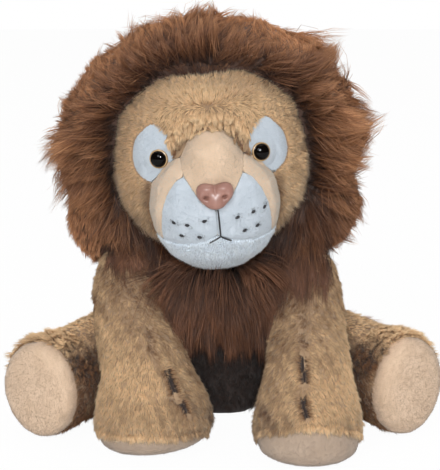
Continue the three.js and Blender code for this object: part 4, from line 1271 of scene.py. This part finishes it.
def add_eye(side, seat):
    place, right, look, up = seat
    dome = [(EYE_PUPIL * math.cos(a), EYE_EDGE + EYE_DOME * math.sin(a))
            for a in np.linspace(0, math.pi / 2, 12)[:-1]]
    profile = [*EYE_PROFILE, *dome]
    angles = 2 * math.pi * np.arange(EYE_STEPS) / EYE_STEPS
    points = [place + (right * math.cos(t) + up * math.sin(t)) * r * MM + look * h * MM
              for r, h in profile for t in angles]
    points += [place + look * EYE_PROFILE[0][1] * MM, place + look * (EYE_EDGE + EYE_DOME) * MM]
    mesh = mesh_of(points, sleeve(len(profile), EYE_STEPS))
    new_object(f"eye_{side}_dome", mesh, "head", "eye_black", [f"eye_{side}"])
    mesh.materials.append(materials["eye_ring"])
    ring = [1] * ((len(EYE_PROFILE) - 1) * EYE_STEPS)
    pupil = [0] * (len(dome) * EYE_STEPS)
    mesh.polygons.foreach_set("material_index", ring + pupil + [1, 0] * EYE_STEPS)
    shade_smooth(mesh)


# Half of the nose's outline in mm from its middle, from the dip between its lobes to its foot
NOSE_OUTLINE = [(0, 7.0), (2.6, 8.0), (6.0, 8.8), (9.4, 8.5), (11.8, 6.8), (12.8, 4.0), (12.8, 1.2),
                (11.9, -1.4), (10.0, -3.4), (8.0, -5.2), (6.4, -7.4), (3.8, -9.0), (0, -9.6)]
NOSE_RINGS, NOSE_STEPS = 26, 88
NOSE_BACK = 4.8  # how far its edge goes in behind its seat


def nose_height(u, v, share):
    """How far the nose stands out of its seat at a place of its outline."""
    rise = 5.2 * (1 - np.clip(share, 0, 1) ** 4.5) ** 0.5 + 0.4
    side = np.abs(u)
    rise = rise + 1.4 * bell(side - 6.2, 4.4, v - 5, 2.5)
    rise = rise + 1.0 * bell(side - 9.8, 1.9, v - 0.8, 2.6)
    rise = rise + 1.1 * bell(u, 3.6) * smooth_step(3.5, -3, v)
    rise = rise - 1.5 * bell(u, 1.25) * smooth_step(-0.5, 5.5, v)
    rise = rise - 4.4 * bell(side - 6.4, 1.5, v + 0.9, 1.15)
    return rise - 0.8 * bell(side - 5, 1.1, v + 3.2, 2)


def add_nose(seat):
    place, right, look, up = seat
    place = place + look * 1.6 * MM
    half = np.array(NOSE_OUTLINE, dtype=float)
    whole = np.concatenate([half, half[-2:0:-1] * [-1, 1]])
    closed = np.concatenate([whole, whole[:1]])
    marks = np.concatenate([[0], np.cumsum(np.linalg.norm(np.diff(closed, axis=0), axis=1))])
    at = np.linspace(0, marks[-1], NOSE_STEPS, endpoint=False)
    rim = np.stack([np.interp(at, marks, closed[:, k]) for k in range(2)], axis=1)
    for _ in range(3):
        rim = (rim + np.roll(rim, 1, axis=0) + np.roll(rim, -1, axis=0)) / 3
    rings = []
    for share in 1 - (1 - np.linspace(0, 1, NOSE_RINGS + 1)[1:]) ** 1.4:
        u, v = (rim * share).T
        rise = nose_height(u, v, share)
        rings.append(place + (right * u[:, None] + up * v[:, None] + look * rise[:, None]) * MM)
    rings.append(place + (right * rim[:, :1] + up * rim[:, 1:] - look * NOSE_BACK) * MM)
    middle = [place + look * nose_height(0, 0, 0) * MM, place - look * NOSE_BACK * MM]
    mesh = mesh_of(np.concatenate([*rings, middle]), sleeve(len(rings), NOSE_STEPS))
    shade_smooth(mesh)
    new_object("nose_moulded", mesh, "head", "nose", ["nose"])


# Mouth and whisker stitches, as places of the photograph, and how the whiskers slope
MOUTH = [[(218.0, 210), (219.3, 222), (220.8, 236.4)], [(220.8, 236.4), (215.5, 239.6), (209.5, 243)],
         [(220.8, 236.4), (225.5, 238.4), (231.5, 240.2)]]
WHISKERS = {"left": [(237.5, 217.2), (253.3, 211.6), (264.2, 206.7), (244.7, 230.1), (257.3, 225)],
            "right": [(204.3, 221.3), (187.3, 225.2), (173.9, 222.4), (199.5, 237.1), (181.8, 235.5)]}
WHISKER_SLOPES = {"left": (0.35, 0.5, 0.65, 0.4, 0.5), "right": (0.25, -0.1, -0.4, -0.15, -0.2)}
STITCH_ENDS = 44  # frayed ends round a whisker stitch


def add_threads(tree):
    tubes = []
    for line in MOUTH:
        places, outs = seen_at(tree, line)
        path = on_surface(tree, through(places, 0.8 * MM))[0]
        tubes.append(tube(path + unit(outs.mean(axis=0)) * 0.35 * MM, 0.62 * MM, ends=0.7))
    new_object("mouth_thread", merged(tubes), "head", "thread", ["mouth_stitch"])
    for side, dots in WHISKERS.items():
        places, outs = seen_at(tree, dots)
        for i, slope in enumerate(WHISKER_SLOPES[side]):
            add_whisker(f"{side}_{i + 1}", places[i], outs[i], slope)


def add_whisker(label, place, out, slope):
    """A stitch across the muzzle, with frayed ends whose dark strands also paint a grey shade in the nap
    round it.
    """
    along = unit(np.array([1.0, 0.0, slope]))
    along = unit(along - out * (along @ out))
    path = [place + along * t * 1.35 * MM + out * (0.45 - 0.35 * t * t) * MM for t in np.linspace(-1, 1, 7)]
    stitch = tube(path, 1.05 * MM, ends=0.5)
    new_object(f"whisker_{label}", stitch, "head", "thread", [f"whisker_stitch_{label}"])
    spread = rng.normal(size=(STITCH_ENDS, 2)) * mm(1.8, 1.15)
    roots = place + along * spread[:, :1] + np.cross(out, along) * spread[:, 1:]
    outs = np.tile(out, (STITCH_ENDS, 1))
    paths, _ = fur_paths(roots, outs, along, 1.9 * MM, 0.6, 1, scatter=0.3)
    shade = np.full(STITCH_ENDS, 0.5)
    add_strands(f"whisker_{label}_ends", "head", "thread", paths, 0.17 * MM, shade)


# Scene

add_camera()
bpy.context.scene.view_settings.view_transform = "Standard"
add_world()
add_floor()
add_light("key", (-0.5, -1.6, 1.3), 0.9, 18)
add_light("glint", (0.1, -1.5, 0.85), 0.1, 65, diffuse=False)
add_light("fill", (1.3, -1.1, 0.9), 1.4, 6, glossy=False)
add_light("low", (0, -1.7, 0.15), 1.2, 12, glossy=False)
add_light("top", (0.1, 0.3, 1.9), 1.3, 10)

LIMBS = ("front_leg_left", "front_leg_right", "hind_leg_left", "hind_leg_right")
cores = {limb: core_of([f"{limb}_skin", f"{limb}_filling", pad_of(limb)], 2 * MM, 26) for limb in LIMBS}
cores["tail"] = core_of(["tail_skin", "tail_filling"], 1.5 * MM, 8)
cores["tuft"] = core_of(["tail_tuft"], 1.5 * MM, 8)
cores["body"] = core_of(["body_skin", "body_filling", "pellet_pouch"], 3 * MM, 10)
cores["chest"] = core_of(["chest_pile"], 2 * MM, 10)
cores["mane"] = core_of(["mane"], 2.5 * MM, 10)
leg_trees = [tree_of(cores["front_leg_left"]), tree_of(cores["front_leg_right"])]

# Forms without panels: piece, body, slot, cloth, node and softness
PLAIN_FORMS = {
    "body": ("body_plush", "body", "tan_plush", "tan_cloth", "body_skin", 0.7),
    "chest": ("chest_plush", "body", "brown_pile", "dark_cloth", "chest_pile", None),
    "tail": ("tail_plush", "tail", "tan_plush", "tan_cloth", "tail_skin", 0.7),
    "tuft": ("tuft_plush", "tail", "brown_pile", "brown_cloth", "tail_tuft", None),
    "mane": ("mane_base", "head", "brown_pile", "brown_cloth", "mane", None),
}
for form, (name, body, slot, cloth, node, softness) in PLAIN_FORMS.items():
    new_object(name, cores[form], body, cloth, [node])
for limb in LIMBS:
    add_leg(limb)
face_tree, head_top, seats = add_head()
for side in EYES:
    add_eye(side, seats[side])
add_nose(seats["nose"])
add_threads(face_tree)
tan_fur("body_fur", "body", cores["body"], 0.7, 7 * MM, lambda place, out: DOWN,
        lambda place: 0.72 + 0.12 * bumps(place, 14, 15), radius=0.4 * MM)
tan_fur("tail_fur", "tail", cores["tail"], 1.2, 6 * MM,
        lambda place, out: along_line(LIMB_LINES["tail"], place)[0],
        lambda place: 0.75 + 0.1 * bumps(place, 14, 16))
tan_fur("tuft_fur", "tail", cores["tuft"], 1.6, 20 * MM, lambda place, out: np.array([1.0, -0.2, 0.0]),
        lambda place: 0.45 + 0.15 * bumps(place, 14, 17), lift=0.25, steps=3, slot="brown_pile",
        material="brown_fur")
add_mane(cores["mane"], head_top, leg_trees)
add_chest(cores["chest"], leg_trees)

inner_materials = {"filling": "stuffing", "pouch": "pellet_cloth", "washer": "washer"}
for name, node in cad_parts.items():
    for key, material in inner_materials.items():
        if key in name:
            for place in node.material_slots:
                place.material = materials[material]
